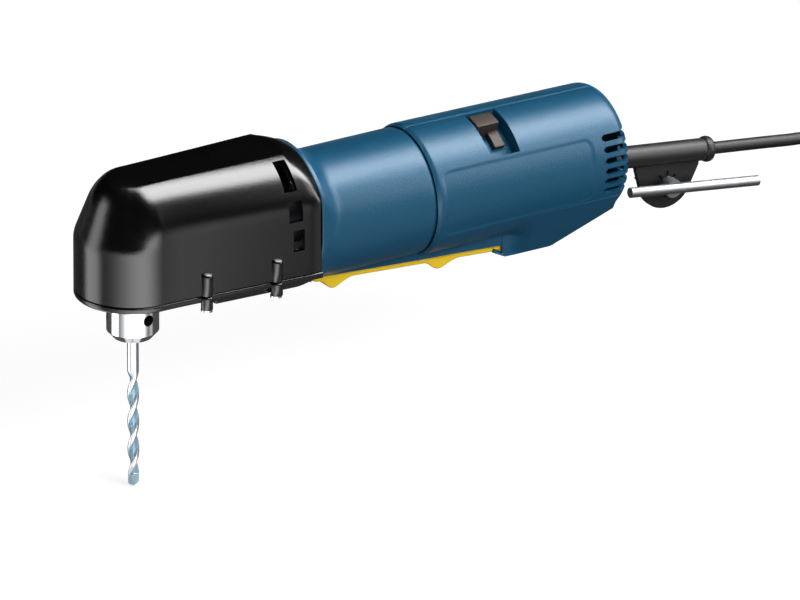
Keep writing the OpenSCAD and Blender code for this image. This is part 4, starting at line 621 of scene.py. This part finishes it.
# barrel: turned tube with a flared front flange, and a keel beside the paddle slot
barrel = {"from": 91.5, "to": 161.3, "radius": 33.0, "flange": 40.9, "collar": 35.3, "flat": 2.0,
          "flare": 13.5, "keelHalf": 13.3, "keelBlend": 1.2, "groove": 0.9, "slotHalf": 11.3, "wall": 2.0,
          "edge": 0.4}
paddleLook = {"pivot": 97.5, "end": 218.5, "frontDrop": 34.0, "rearDrop": 41.5, "show": 3.5, "thick": 3.4,
              "half": 11.0, "bumps": ((112.6, 5.0), (175.6, 4.4)), "bumpRun": 14.0, "corner": 1.1,
              "lift": 1.8, "liftTo": 103.5}


def paddleLow(x):   # height of the paddle's lower face, without its bumps
    k = paddleLook
    return -k["frontDrop"] - (k["rearDrop"] - k["frontDrop"]) * (x - k["pivot"]) / (k["end"] - k["pivot"])


# radius of a tube with a keel: the larger of a circle and a box below it; turn runs from straight down
def keelRadius(turn, circle, depth, half, blend):
    s, c = np.abs(np.sin(turn)), np.cos(turn)
    box = np.minimum(half / np.maximum(s, 1e-4), depth / np.maximum(c, 1e-4))
    return np.where(c > 0.2, softMax(circle, np.where(c > 0.2, box, 0), blend), circle)


def barrelSkin():
    k = barrel
    flareX = fillSteps([k["from"] + k["flat"], k["from"] + 15.5], 0.9)
    tubeX = fillSteps([108.5, k["to"] - 2.1], 2.4)
    endX = k["to"] - np.array([1.3, 1.0, 0.5, 0.0])
    x = np.concatenate([[k["from"], k["from"] + 0.3], flareX, tubeX, endX])
    t = np.clip((x - k["from"] - k["flat"]) / k["flare"], 0, 1)
    groove = k["groove"] * ease(x, k["to"] - 1.4, k["to"] - 1.0)
    lip = np.where(x < k["from"] + 0.2, 0.3, 0.0)
    flange = k["radius"] + (k["flange"] - k["radius"]) * (1 - t) ** 2 - groove - lip
    collar = k["radius"] + (k["collar"] - k["radius"]) * (1 - t) ** 2 - groove - lip
    depth = np.maximum(-(paddleLow(x) + paddleLook["show"]), 20.0)
    edgeTurn = np.arctan2(k["slotHalf"], np.maximum(depth, 30.0))
    s = np.linspace(0, 1, 145)[None]
    turn = edgeTurn[:, None] + s * (2 * np.pi - 2 * edgeTurn[:, None])
    sy, cz = np.sin(turn), -np.cos(turn)
    upper = softMin(np.broadcast_to(flange[:, None], turn.shape),
                    collar[:, None] / np.maximum(np.abs(sy), 1e-3), 3.0)
    r = np.where(cz > 0, np.maximum(upper, collar[:, None]), collar[:, None])
    r = keelRadius(turn, r, depth[:, None], k["keelHalf"], k["keelBlend"])
    # front end cut flat above the sole's edge
    foot = np.interp(x, [k["from"], 104.0, 108.0], [25.5, 31.0, 60.0])[:, None]
    r = np.where(cz < -0.2, np.minimum(r, foot / np.maximum(-cz, 1e-3)), r)
    return {"points": pointsOf(x[:, None], -r * sy, r * cz)}


meshPiece("motor_barrel", [barrelSkin()], "housing", "blue_nylon", ("motor_housing",), wall=barrel["wall"],
          edge=barrel["edge"])

# rear housing: two half shells with belly, vents, side panel and the reversing lever's recess; the recess
# is given by its stations and by its upper and lower edge in degrees from straight up
rear = {"from": 161.3, "to": 279.0, "radius": 34.5, "endRadius": 33.2, "round": 8.0, "lip": 1.2,
        "lipLen": 2.5, "slotZ": (16.3, 10.6, 4.9, -0.8, -6.5, -12.2),
        "slotHalf": (1.62, 1.62, 1.6, 1.75, 1.85, 1.7), "slotFrom": 262.0, "slotDeepY": 20.0,
        "levelZ": (19.5, -22.0), "meanRadius": 34.05, "panelX": (165.6, 256.0), "panelTurn": (32.5, -28.0),
        "panelDepth": 0.5, "panelCorner": 5.0, "panelEdge": (-0.7, 0.1), "arcRadius": 34.0,
        "recessX": (195.9, 204.9, 210.9, 213.9), "recessTurn": (3.0, 54.8), "floorRadius": 25.5,
        "seam": 0.45, "bootHole": 6.1, "wall": 2.0, "edge": 0.4}
belly = {"front": 212.4, "lip": 207.0, "lipZ": 40.5, "faceZ": 40.1, "chin": 213.8, "flatTo": 241.0,
         "end": 272.0, "drop": 43.8, "riseTo": 27.0, "riseX": 270.0, "touch": 33.85, "half": 13.5,
         "topZ": 17.0, "slotTo": 220.5, "swell": 13.0, "sink": 0.5, "faceRadius": 33.0}


# radius of the turned shell at each station: bevelled front, slight taper, rounded rear
def rearRadius(x):
    k = rear
    straight = k["to"] - k["round"] - k["from"] - k["lipLen"]
    taper = k["radius"] + (k["endRadius"] - k["radius"]) * (x - k["from"] - k["lipLen"]) / straight
    taper = np.minimum(taper, k["radius"])
    bevel = k["lip"] * (1 - ease(x, k["from"] - 0.6, k["from"] + k["lipLen"]))
    t = np.clip((x - (k["to"] - k["round"])) / k["round"], 0, 1)
    rounded = k["endRadius"] - k["round"] * (1 - np.sqrt(np.maximum(1 - t * t, 0)))
    return np.where(t > 0, rounded, taper - bevel)


# how deep a point lies in the shallow side panel: a rounded rectangle in station and arc length
def panelDip(x, turn):
    k = rear
    midX, halfX = sum(k["panelX"]) / 2, (k["panelX"][1] - k["panelX"][0]) / 2
    arc = k["arcRadius"] * np.radians(turn - sum(k["panelTurn"]) / 2)
    halfA = k["arcRadius"] * math.radians(k["panelTurn"][0] - k["panelTurn"][1]) / 2
    c = k["panelCorner"]
    dx, da = np.abs(x - midX) - halfX + c, np.abs(arc) - halfA + c
    far = np.hypot(np.maximum(dx, 0), np.maximum(da, 0)) + np.minimum(np.maximum(dx, da), 0) - c
    return k["panelDepth"] * (1 - ease(far, *k["panelEdge"]))


def rearHalf(hand):   # hand -1 is the camera's side
    k, b = rear, belly
    arcEnd = k["to"] - k["round"] + k["round"] * np.sin(np.radians(np.linspace(0, 90, 13)[1:]))
    stops = [k["from"], k["from"] + 1.5, k["lipLen"] + k["from"], *k["recessX"], b["slotTo"], k["slotFrom"]]
    slotX = fillSteps([k["slotFrom"], k["to"] - k["round"]], 1.0)[1:]
    x = np.concatenate([fillSteps(stops, 0.9), slotX, arcEnd])
    r0 = rearRadius(x)[:, None]
    topZ, lowZ = k["levelZ"]   # between these heights the rows run level, along the vent slots
    slotEdges = sorted([z + s * h for z, h in zip(k["slotZ"], k["slotHalf"]) for s in (-1, 1)], reverse=True)
    rowZ = -fillSteps([-topZ, *[-z for z in slotEdges], -lowZ], 0.8)
    joinTurn = np.arccos(np.clip(topZ / r0, -1, 1))
    topStops = np.radians(fillSteps([0.25, *k["recessTurn"]], 1.6))
    reference = math.acos(topZ / k["meanRadius"])
    topTurn = np.append(topStops, (topStops[-1] + reference) / 2)[None] * joinTurn / reference
    midTurn = np.arccos(np.clip(rowZ[None] / r0, -1, 1))
    depth = np.where(x < b["front"], -(paddleLow(x) + paddleLook["show"]), 30.0)[:, None]
    edgeTurn = np.pi - np.arctan2(barrel["slotHalf"], np.maximum(depth, 30.0))
    lastTurn = midTurn[:, -1:]
    lowTurn = lastTurn + (edgeTurn - lastTurn) * np.linspace(0, 1, 22)[None, 1:]
    footSteps = 6
    footTurn = edgeTurn + (np.pi - 0.0002 - edgeTurn) * np.linspace(0, 1, footSteps)[None, 1:]
    turn = np.concatenate([topTurn, midTurn, lowTurn, footTurn], 1)
    r = np.broadcast_to(r0, turn.shape)
    level = 90 - np.degrees(turn)
    r = r - panelDip(x[:, None], level)
    # fine groove along the joint of the halves
    r = r - k["seam"] * np.exp(-(turn * k["arcRadius"] / k["seam"]) ** 2)
    keeled = keelRadius(np.pi - turn, r, depth, barrel["keelHalf"], barrel["keelBlend"])
    r = np.where(x[:, None] < b["front"] + 8, keeled, r)
    p = pointsOf(x[:, None], hand * r * np.sin(turn), r * np.cos(turn))
    cells = (p[:-1, :-1] + p[1:, 1:]) / 2
    keep = np.ones(cells.shape[:2], bool)
    rows = np.arange(keep.shape[1])[None]
    cx, cz = cells[..., 0], cells[..., 2]
    for z, half in zip(k["slotZ"], k["slotHalf"]):
        tall = np.where(cx < k["slotFrom"] + 0.9, 0.6, 1.0) * half - 0.05   # rounded end
        keep &= ~((cx > k["slotFrom"]) & (np.abs(cz - z) < tall) & (np.abs(cells[..., 1]) > k["slotDeepY"]))
    keep &= ~((cx < b["slotTo"]) & (rows >= turn.shape[1] - footSteps))
    grids = []
    if hand < 0:
        topRow = int(np.argmin(np.abs(topStops - math.radians(k["recessTurn"][0]))))
        lowRow = len(topStops) - 1
        inX = (cx > k["recessX"][0]) & (cx < k["recessX"][-1])
        keep &= ~(inX & (rows >= topRow) & (rows < lowRow))
        i0, i1 = [int(np.argmin(np.abs(x - k["recessX"][end]))) for end in (0, -1)]
        rim = p[i0:i1 + 1, topRow:lowRow + 1]
        far = np.hypot(rim[..., 1], rim[..., 2])[..., None]
        sunk = rim.copy()
        sunk[..., 1:] *= k["floorRadius"] / far
        grids.append({"points": sunk, "flip": True})
        loop, deep = [np.concatenate([g[:, 0], g[-1, 1:], g[-2::-1, -1], g[0, -2:0:-1]]) for g in (rim, sunk)]
        share = np.array([0, 0.33, 0.66, 1.0])[None, :, None]
        sides = loop[:, None] * (1 - share) + deep[:, None] * share
        grids.append({"points": sides, "roundU": True, "flip": True})
    grids.append({"points": p, "keep": keep, "flip": hand < 0})
    # rear wall: from the rounded edge in to the boot's hole
    rimEnd = p[-1]
    hole = pointsOf(k["to"], hand * k["bootHole"] * np.sin(turn[-1]),
                    -cordLook["bootDrop"] + k["bootHole"] * np.cos(turn[-1]))
    share = np.array([0, 0.08, 0.2, 0.3, 0.5, 0.75, 1.0])[None, :, None]
    wall = rimEnd[:, None] * (1 - share) + hole[:, None] * share
    wallMid = (wall[:-1, :-1] + wall[1:, 1:]) / 2
    slotted = np.zeros(wallMid.shape[:2], bool)
    for z, half in zip(k["slotZ"], k["slotHalf"]):
        slotted |= (np.abs(wallMid[..., 2] - z) < half - 0.05) & (np.abs(wallMid[..., 1]) > k["slotDeepY"])
    grids.append({"points": wall, "keep": ~slotted, "flip": hand > 0})
    return grids


# belly half: a plane that touches the round shell, a chin under the paddle's end and a rising bottom
def bellyHalf(hand):
    b = belly
    lean = math.atan2(b["half"], b["drop"]) + math.acos(b["touch"] / math.hypot(b["half"], b["drop"]))
    column = np.concatenate([np.linspace(0, 0.14, 12), np.linspace(0.14, 1, 40)[1:]])[:, None]
    row = np.linspace(0, 1, 24)[None]
    frontZ = b["topZ"] + (b["lipZ"] - b["topZ"]) * row
    lipShare = np.clip((frontZ - b["faceZ"]) / (b["lipZ"] - b["faceZ"]), 0, 1)
    frontX = b["front"] - (b["front"] - b["lip"]) * lipShare
    x = frontX + (b["end"] - frontX) * column
    edgeX = x[:, -1:]
    knots = [b["lip"], b["chin"], b["flatTo"], b["riseX"], b["end"]]
    drops = [b["lipZ"], b["drop"], b["drop"], b["riseTo"], b["riseTo"] - 1.2]
    low = np.interp(edgeX, knots, drops)
    z = b["topZ"] + (np.interp(x, knots, drops) - b["topZ"]) * row
    y = (b["touch"] - z * math.cos(lean)) / math.sin(lean)
    shellY = np.maximum(np.sqrt(np.maximum(b["touch"] ** 2 - z ** 2, 0)), barrel["keelHalf"])
    # swells out of the shell
    y = shellY - b["sink"] + (y - shellY + b["sink"]) * ease(x - frontX, 0, b["swell"])
    sideGrid = np.stack([x, hand * y, -z], -1)
    stripRows = 8
    slotY = np.minimum(barrel["slotHalf"], y[:, -1:])
    stripY = slotY + (y[:, -1:] - slotY) * np.linspace(1, 0, stripRows)[None]
    foot = np.concatenate([stripY, slotY * np.linspace(1, 0.0001, 6)[None, 1:]], 1)
    bottom = pointsOf(edgeX, hand * foot, -low)
    cellX = (bottom[:-1, :-1, 0] + bottom[1:, 1:, 0]) / 2
    keep = ~((cellX < b["slotTo"]) & (np.arange(foot.shape[1] - 1)[None] >= stripRows - 1))
    edge = sideGrid[0, :-1]   # front edge; the lip below it stays open, over the end of the paddle
    turn = np.arctan2(np.abs(edge[:, 1]), -edge[:, 2])
    innerR = np.minimum(np.hypot(edge[:, 1], edge[:, 2]), b["faceRadius"])
    inner = np.stack([edge[:, 0], hand * innerR * np.sin(turn), -innerR * np.cos(turn)], -1)
    face = np.stack([edge, (edge + inner) / 2, inner], 1)
    return [{"points": sideGrid, "flip": hand < 0}, {"points": bottom, "keep": keep, "flip": hand < 0},
            {"points": face, "flip": hand < 0}]


for hand, label in ((-1, "left"), (1, "right")):
    meshPiece("rear_shell_" + label, rearHalf(hand) + bellyHalf(hand), "housing", "blue_nylon",
              ("rear_housing_" + label,), wall=rear["wall"], edge=rear["edge"], edgeAngle=42)


# reversing lever: a knob and a lower stem, each a block bent round the motor's axis
lever = {"knob": ((197.1, 209.8), (66.5, 82.5), (26.0, 34.5)),
         "stem": ((203.6, 210.0), (46.5, 67.0), (26.0, 29.0)), "edge": 0.5, "edgeAngle": 35}


def bentBlock(span):   # six faces of a box in station, turn above the horizon and radius
    grids = []
    for flat in range(3):
        u, v = [a for a in range(3) if a != flat]
        for end in (0, 1):
            box = np.zeros((9, 9, 3))
            box[..., u], box[..., v] = crossed(np.linspace(*span[u], 9), np.linspace(*span[v], 9))
            box[..., flat] = span[flat][end]
            x, turn, r = box[..., 0], np.radians(box[..., 1]), box[..., 2]
            grids.append({"points": pointsOf(x, -r * np.cos(turn), r * np.sin(turn))})
    return grids


meshPiece("reversing_lever", bentBlock(lever["knob"]) + bentBlock(lever["stem"]), "brush_gear",
          "brown_phenolic", ("direction_lever",), edge=lever["edge"], edgeAngle=lever["edgeAngle"],
          outward=True)
print("motor housings made")


# paddle: a rounded strip whose lower face swells into two finger stops
def paddleStrip():
    k = paddleLook
    x = fillSteps([k["pivot"], 130, 165, k["end"]], 0.9)
    swell = np.zeros_like(x)
    for st, high in k["bumps"]:
        run = k["bumpRun"]
        knots = st + run * np.array([-0.5, -0.45, -0.3, -0.12, 0, 0.16, 0.4, 0.75, 0.85])
        rise = high * np.array([0, 0.04, 0.55, 0.94, 1, 0.9, 0.45, 0.03, 0])
        swell = np.maximum(swell, np.interp(x, knots, rise))
    swell = np.convolve(np.pad(swell, 2, mode="edge"), np.ones(5) / 5, "valid")
    low = paddleLow(x) - swell + k["lift"] * (1 - ease(x, k["pivot"], k["liftTo"]))
    high = paddleLow(x) + k["thick"]
    c, w = k["corner"], k["half"]
    a = np.radians(np.linspace(0, 90, 6))
    section = []   # across, upper face or lower, and the corner's own height, round from the lower edge
    for sy, up, start in ((1, 0, -90), (1, 1, 0), (-1, 1, 90), (-1, 0, 180)):
        t = np.radians(start) + a
        r = 0.5 if up else c
        rise = r * np.sin(t) + (-r if up else r)
        section.append(np.stack([sy * (w - r) + r * np.cos(t), np.full(6, up), rise], -1))
    section = np.concatenate(section)[None]
    z = np.where(section[..., 1] > 0, high[:, None], low[:, None]) + section[..., 2]
    p = pointsOf(x[:, None], section[..., 0], z)
    return capped(p, p[0].mean(0), p[-1].mean(0))


eyeLook = {"half": 11.0, "soft": 0.4, "bore": 1.25, "radius": 2.2, "z": -31.0}
eyeRows = [(-eyeLook["half"], eyeLook["bore"]), (-eyeLook["half"] + eyeLook["soft"], eyeLook["radius"]),
           (eyeLook["half"] - eyeLook["soft"], eyeLook["radius"]), (eyeLook["half"], eyeLook["bore"]),
           (-eyeLook["half"], eyeLook["bore"])]
eye = turned(eyeRows, (paddleLook["pivot"], 0, eyeLook["z"]), (0, 1, 0), 32)
meshPiece("paddle_bar", [paddleStrip(), eye], "paddle", "yellow_plastic", ("switch_paddle",), outward=True)

# boot: a plain rubber sleeve with a rounded bead at its end
bootLook = {"tail": 12.0, "radius": 5.85, "beadAt": 62.0, "beadHalf": 2.5, "beadRoot": 5.3, "beadRise": 1.45}
bootRows = [(-bootLook["tail"], 0.0), (-bootLook["tail"], 5.7), (0, 5.75)]
bootRows += [(along, bootLook["radius"]) for along in (20, 40, 60.5)] + [(61.6, 5.8)]
for a in np.linspace(0.25, math.pi - 0.1, 12):
    beadAlong = bootLook["beadAt"] + bootLook["beadHalf"] * (1 - math.cos(a))
    bootRows.append((beadAlong, bootLook["beadRoot"] + bootLook["beadRise"] * math.sin(a)))
bootRows += [(66.9, 4.6), (66.6, 3.4), (66.0, 3.2), (64.0, 0.0)]
droop = math.radians(cordLook["droop"])
bootWay = (math.cos(droop), 0, -math.sin(droop))
meshPiece("cord_sleeve", [turned(bootRows, bootPlace(0, 0), bootWay, 48)], "housing", "rubber",
          ("cord_boot",), outward=True)

# key flap: a plate cut along its outline, with a star of slits round the key
flap = {"along": 41.0, "below": 14.0, "round": 15.5, "topHalf": 19.7, "turn": 75.0, "thick": 3.0,
        "edge": 0.35, "edgeAngle": 35, "keyAlong": 41.5, "keyBelow": 16.5, "hole": 4.3, "slitEnd": 7.2,
        "slitHalf": 0.45, "slits": 8, "start": 5.6}


def flapPlate():
    k = flap
    arc = np.radians(np.linspace(-k["turn"], k["turn"], 64))
    outline = np.concatenate([
        [[k["start"], k["along"] - k["topHalf"]]],
        np.stack([k["below"] + k["round"] * np.cos(arc), k["along"] + k["round"] * np.sin(arc)], -1),
        [[k["start"], k["along"] + k["topHalf"]]]])
    dense = np.concatenate([np.linspace(p, q, 9)[:-1] for p, q in zip(outline, np.roll(outline, -1, 0))])
    centre = np.array([k["keyBelow"], k["keyAlong"]])
    spokes = []
    for i in range(k["slits"]):
        mid = 2 * np.pi * i / k["slits"]
        inner, outer = [math.asin(k["slitHalf"] / k[end]) for end in ("hole", "slitEnd")]
        spokes += [(mid - inner - 0.002, k["hole"]), (mid - outer, k["slitEnd"])]
        spokes += [(mid + outer, k["slitEnd"]), (mid + inner + 0.002, k["hole"])]
        rest = np.linspace(mid + inner, mid + 2 * np.pi / k["slits"] - inner, 9)[1:-1]
        spokes += [(t, k["hole"]) for t in rest]
    spokes = np.array(spokes)
    way = np.stack([np.cos(spokes[:, 0]), np.sin(spokes[:, 0])], -1)
    rel = dense - centre
    angle = np.arctan2(rel[:, 1], rel[:, 0])
    order = np.argsort(angle)
    reachOut = np.interp(spokes[:, 0], angle[order], np.linalg.norm(rel, axis=1)[order], period=2 * np.pi)
    share = np.linspace(0, 1, 8)[None, :, None]
    radius = spokes[:, 1][:, None, None] * (1 - share) + reachOut[:, None, None] * share
    uv = centre + radius * way[:, None]
    across = -k["thick"] / 2
    return {"points": bootPlace(uv[..., 1], uv[..., 0], across), "roundU": True, "flip": True}


meshPiece("key_flap", [flapPlate()], "housing", "rubber", ("key_holder",), wall=flap["thick"],
          edge=flap["edge"], edgeAngle=flap["edgeAngle"])
print("paddle, sleeve and flap made")

# bit: shank, two helical flutes with round lands, and a wider carbide head; painted where the flutes are
bitLook = {"top": -30.0, "shank": 2.95, "land": 3.0, "core": 0.52, "landShare": 0.32, "lead": 30.5,
           "fluteIn": (63.2, 67.5), "fluteLow": -119.7, "low": -120.2, "headTop": -119.4, "tip": -127.4,
           "flatDeep": 0.3, "headPaint": 0.75, "sides": 72, "steel": "#c4c5c8", "lacquer": "#8fb6cc",
           "rough": 0.3, "grainMm": 0.6, "bump": 0.2, "bumpMm": 0.04}


def bitSkin():   # points, and how much paint each one carries
    k = bitLook
    flutes = -fillSteps([63.0, -k["fluteLow"]], 0.55)
    z = np.concatenate([[k["top"], -40, -50, -58], flutes, [-119.9, k["low"]]])
    turn = fullTurn(k["sides"])
    twist = 2 * np.pi * (z - k["fluteLow"]) / k["lead"]
    a = turn[None] - twist[:, None]
    hollow = np.minimum(1, 2 * np.abs(np.sin(a)) ** (1 / k["landShare"]))
    cut = ease(-z, *k["fluteIn"])[:, None]
    fluted = k["land"] * (1 - (1 - k["core"]) * hollow)
    r = k["shank"] * (1 - cut) + fluted * cut
    p = pointsOf(r * np.cos(turn), r * np.sin(turn), z[:, None])
    paint = cut * ease(hollow, 0.12, 0.4)
    return capped(p, (0, 0, k["top"]), (0, 0, k["low"])), np.pad(paint, ((1, 1), (0, 0)))


def bitHead():   # carbide head: two flats ground into a cone-pointed disc
    k = bitLook
    z = np.array([k["headTop"], -119.7, -120.5, -122, -124, -125.2, -125.5, -126.4, -127.35])
    r = np.array([2.2, 3.0, 3.2, 3.2, 3.2, 3.15, 3.0, 1.6, 0.05])
    turn = fullTurn(k["sides"])
    share = np.where(z < -119.9, 1, 0.4)[:, None]
    radius = r[:, None] * (1 - k["flatDeep"] * np.abs(np.sin(turn[None] - 0.5)) ** 3 * share)
    p = pointsOf(radius * np.cos(turn), radius * np.sin(turn), z[:, None])
    return capped(p, (0, 0, k["headTop"]), (0, 0, k["tip"]))


def paintedBit():   # bright ground steel, with sky-blue lacquer where the paint attribute says
    k = bitLook
    made = bpy.data.materials.new("paintedBit")
    tree, out = emptyTree(made)
    paint = addNode(tree, "Attribute", {"attribute_name": "paint"})
    place = addNode(tree, "TexCoord")
    grain = addNode(tree, "TexNoise", {"Scale": 1000 / k["grainMm"], "Detail": 3},
                    {"Vector": (place, "Object")})
    bump = addNode(tree, "Bump", {"Strength": k["bump"], "Distance": k["bumpMm"] / 1000},
                   {"Height": (grain, "Fac")})
    tint = addNode(tree, "Mix", {"data_type": "RGBA", 6: ink(k["steel"]), 7: ink(k["lacquer"])},
                   {0: (paint, "Fac")})
    metal = addNode(tree, "MapRange", {"To Min": 1.0, "To Max": 0.15}, {"Value": (paint, "Fac")})
    shade = addNode(tree, "BsdfPrincipled", {"Roughness": k["rough"]},
                    {"Base Color": (tint, 2), "Metallic": (metal, "Result"), "Normal": (bump, "Normal")})
    tree.links.new(shade.outputs["BSDF"], out.inputs["Surface"])
    return made


bitGrid, bitMask = bitSkin()
bitTop = bitHead()
headMask = np.full(bitTop["points"].shape[:2], bitLook["headPaint"])
meshPiece("masonry_bit", [bitGrid, bitTop], "spindle", "blue_paint", ("drill_bit",), finish=paintedBit(),
          paint=np.concatenate([bitMask, headMask]), outward=True)
print("bit made")

# stage: a pale floor under the bit and the hank, white to the camera and to mirrors, keeping a faint shadow
stageLook = {"size": 12.0, "floorZ": -0.1275, "pale": 0.42, "glow": 0.74, "ambient": 0.32}
floorMesh = bpy.data.meshes.new("floor")
h, floorZ = stageLook["size"], stageLook["floorZ"]
corners = [(-h, -h, floorZ), (h, -h, floorZ), (h, h, floorZ), (-h, h, floorZ)]
floorMesh.from_pydata(corners, [], [(0, 1, 2, 3)])
floor = bpy.data.objects.new("floor", floorMesh)
scene.collection.objects.link(floor)
white = (1, 1, 1, 1)


# 1 for the rays of the camera, of mirrors and of glass, else 0
def seenShare(tree):
    path = addNode(tree, "LightPath")
    seen = addNode(tree, "Math", {"operation": "MAXIMUM"},
                   {0: (path, "Is Camera Ray"), 1: (path, "Is Glossy Ray")})
    return addNode(tree, "Math", {"operation": "MAXIMUM"}, {0: (seen, 0), 1: (path, "Is Transmission Ray")})


paper = bpy.data.materials.new("paleSweep")
tree, out = emptyTree(paper)
matt = addNode(tree, "BsdfDiffuse", {"Color": (stageLook["pale"],) * 3 + (1,)})
level = addNode(tree, "Math", {"operation": "MULTIPLY", 1: stageLook["glow"]}, {0: (seenShare(tree), 0)})
glow = addNode(tree, "Emission", {"Color": white}, {"Strength": (level, 0)})
both = addNode(tree, "AddShader", None, {0: (matt, 0), 1: (glow, 0)})
tree.links.new(both.outputs[0], out.inputs["Surface"])
floorMesh.materials.append(paper)

scene.world = bpy.data.worlds.new("studio")
tree, out = emptyTree(scene.world, "OutputWorld")
level = addNode(tree, "MapRange", {"To Min": stageLook["ambient"], "To Max": 1.0},
                {"Value": (seenShare(tree), 0)})
sky = addNode(tree, "Background", {"Color": white}, {"Strength": (level, "Result")})
tree.links.new(sky.outputs[0], out.inputs["Surface"])

cardPaint = bpy.data.materials.new("studioCard")
tree, out = emptyTree(cardPaint)
level = addNode(tree, "Attribute", {"attribute_name": "glow"})
lit = addNode(tree, "Emission", {"Color": white}, {"Strength": (level, "Fac")})
tree.links.new(lit.outputs[0], out.inputs["Surface"])


# a card or wall of the studio that only reflections see: points in metres and how bright each one is
def reflectedCard(name, points, glow):
    mesh = bpy.data.meshes.new(name)
    mesh.from_pydata(points.reshape(-1, 3).tolist(), [], gridFaces(*points.shape[:2]).tolist())
    layer = mesh.attributes.new("glow", "FLOAT", "POINT")
    layer.data.foreach_set("value", np.broadcast_to(glow, points.shape[:2]).astype(np.float32).reshape(-1))
    mesh.materials.append(cardPaint)
    card = bpy.data.objects.new(name, mesh)
    scene.collection.objects.link(card)
    card.visible_camera = card.visible_diffuse = card.visible_shadow = card.visible_transmission = False


# black studio walls and ceiling, a half sphere
walls = {"radius": 7.0, "low": -0.6, "bright": 0.004}
turn, rise = crossed(np.linspace(0, 2 * np.pi, 49), np.linspace(0, np.pi / 2, 13))
dome = pointsOf(np.cos(turn) * np.cos(rise), np.sin(turn) * np.cos(rise), np.sin(rise)) * walls["radius"]
reflectedCard("studio_walls", dome + (0, 0, walls["low"]), walls["bright"])

# overhead card: an arc of light above the tool, a little on the camera's side
band = {"radius": 3.0, "side": (-0.2, 0.95), "mid": 0.42, "arc": (70, 126), "bright": 17.0,
        "riseArc": (79, 89), "fallArc": (114, 124), "fallSide": (0.34, 0.58)}
side, arc = crossed(np.linspace(*band["side"], 33), np.linspace(*band["arc"], 57))
ring = np.sqrt(1 - side ** 2)
arcPoints = pointsOf(side, ring * np.cos(np.radians(arc)), ring * np.sin(np.radians(arc))) * band["radius"]
fade = ease(arc, *band["riseArc"]) * (1 - ease(arc, *band["fallArc"]))
fade = fade * (1 - ease(np.abs(side - band["mid"]), *band["fallSide"]))
reflectedCard("overhead_card", arcPoints, band["bright"] * fade)

# front card: an upright strip of light past the far corner of the nose
strip = {"turns": (142, 174), "away": 0.75, "low": -0.12, "high": 0.4, "bright": 3.6}
turn, height = crossed(np.radians(np.linspace(*strip["turns"], 17)),
                       np.linspace(strip["low"], strip["high"], 9))
stripPoints = pointsOf(strip["away"] * np.cos(turn) - gripBack / 1000, strip["away"] * np.sin(turn), height)
share = np.abs(np.linspace(-1, 1, 17))[:, None]
reflectedCard("front_card", stripPoints, strip["bright"] * (1 - ease(share, 0.55, 1.0)))

# side card: a softbox beside the motor on the camera's side, brighter towards the cord
window = {"x": (0.15, 1.0), "y": (-0.30, -0.58), "z": (0.45, -0.08), "bright": (3.3, 7.5),
          "lowEdge": (0.6, 0.92)}
along, down = crossed(np.linspace(0, 1, 21), np.linspace(0, 1, 13))


def between(ends, share):
    return ends[0] + (ends[1] - ends[0]) * share


sidePoints = pointsOf(between(window["x"], along), between(window["y"], down), between(window["z"], down))
level = between(window["bright"], ease(along, 0.3, 0.6))
lowEdge = between(window["lowEdge"], ease(along, 0.35, 0.6))
soft = ease(along, 0, 0.1) * ease(down, 0, 0.14) * (1 - ease(down, lowEdge - 0.15, lowEdge + 0.08))
reflectedCard("side_card", sidePoints, level * soft)

# floor cards as the tool sees them: bright paper before the nose and past its far corner, else grey cloth
paperLook = {"grey": 0.09, "front": 5.3, "frontTurn": -100.0, "wide": (45.0, 26.0), "strip": 3.6,
             "stripRise": (137, 143), "stripFall": (170, 178), "slitRise": (-49, -43),
             "slitFall": (-31, -25), "slitGlow": 0.5, "reach": (0.03, 3.0), "lift": 0.001}
turn, away = crossed(np.linspace(-180, 180, 145), np.geomspace(*paperLook["reach"], 20))
off = (turn - paperLook["frontTurn"] + 180) % 360 - 180
front = paperLook["front"] * np.exp(-(off / np.where(off < 0, *paperLook["wide"])) ** 2)
far = paperLook["strip"] * ease(turn, *paperLook["stripRise"]) * (1 - ease(turn, *paperLook["stripFall"]))
slit = paperLook["slitGlow"] * ease(turn, *paperLook["slitRise"]) * (1 - ease(turn, *paperLook["slitFall"]))
floorPoints = pointsOf(away * np.cos(np.radians(turn)) - gripBack / 1000, away * np.sin(np.radians(turn)),
                       floorZ + paperLook["lift"])
reflectedCard("floor_cards", floorPoints, paperLook["grey"] + np.maximum(np.maximum(front, far), slit))

# lamps: soft and large, left out of reflections, where the cards stand for them
lamps = {
    "sideSoft": {"at": (0.5, -2.2, 1.5), "size": (1.8, 1.6), "watts": 48.0},
    "overheadSoft": {"at": (0.6, 0.5, 2.4), "size": (1.6, 2.2), "watts": 14.0},
}
for name, lamp in lamps.items():
    data = bpy.data.lights.new(name, "AREA")
    data.shape, data.size, data.size_y, data.energy = "RECTANGLE", *lamp["size"], lamp["watts"]
    light = bpy.data.objects.new(name, data)
    scene.collection.objects.link(light)
    at = Vector(lamp["at"])
    facing = at.normalized()   # lamps look at the row's origin
    wide = Vector((0.0, 1.0, 0.0)).cross(facing).normalized()
    aim = Matrix((wide, facing.cross(wide), facing)).transposed().to_4x4()
    light.matrix_world = Matrix.Translation(at) @ aim
    light.visible_camera = light.visible_glossy = False
print("stage and lamps made")
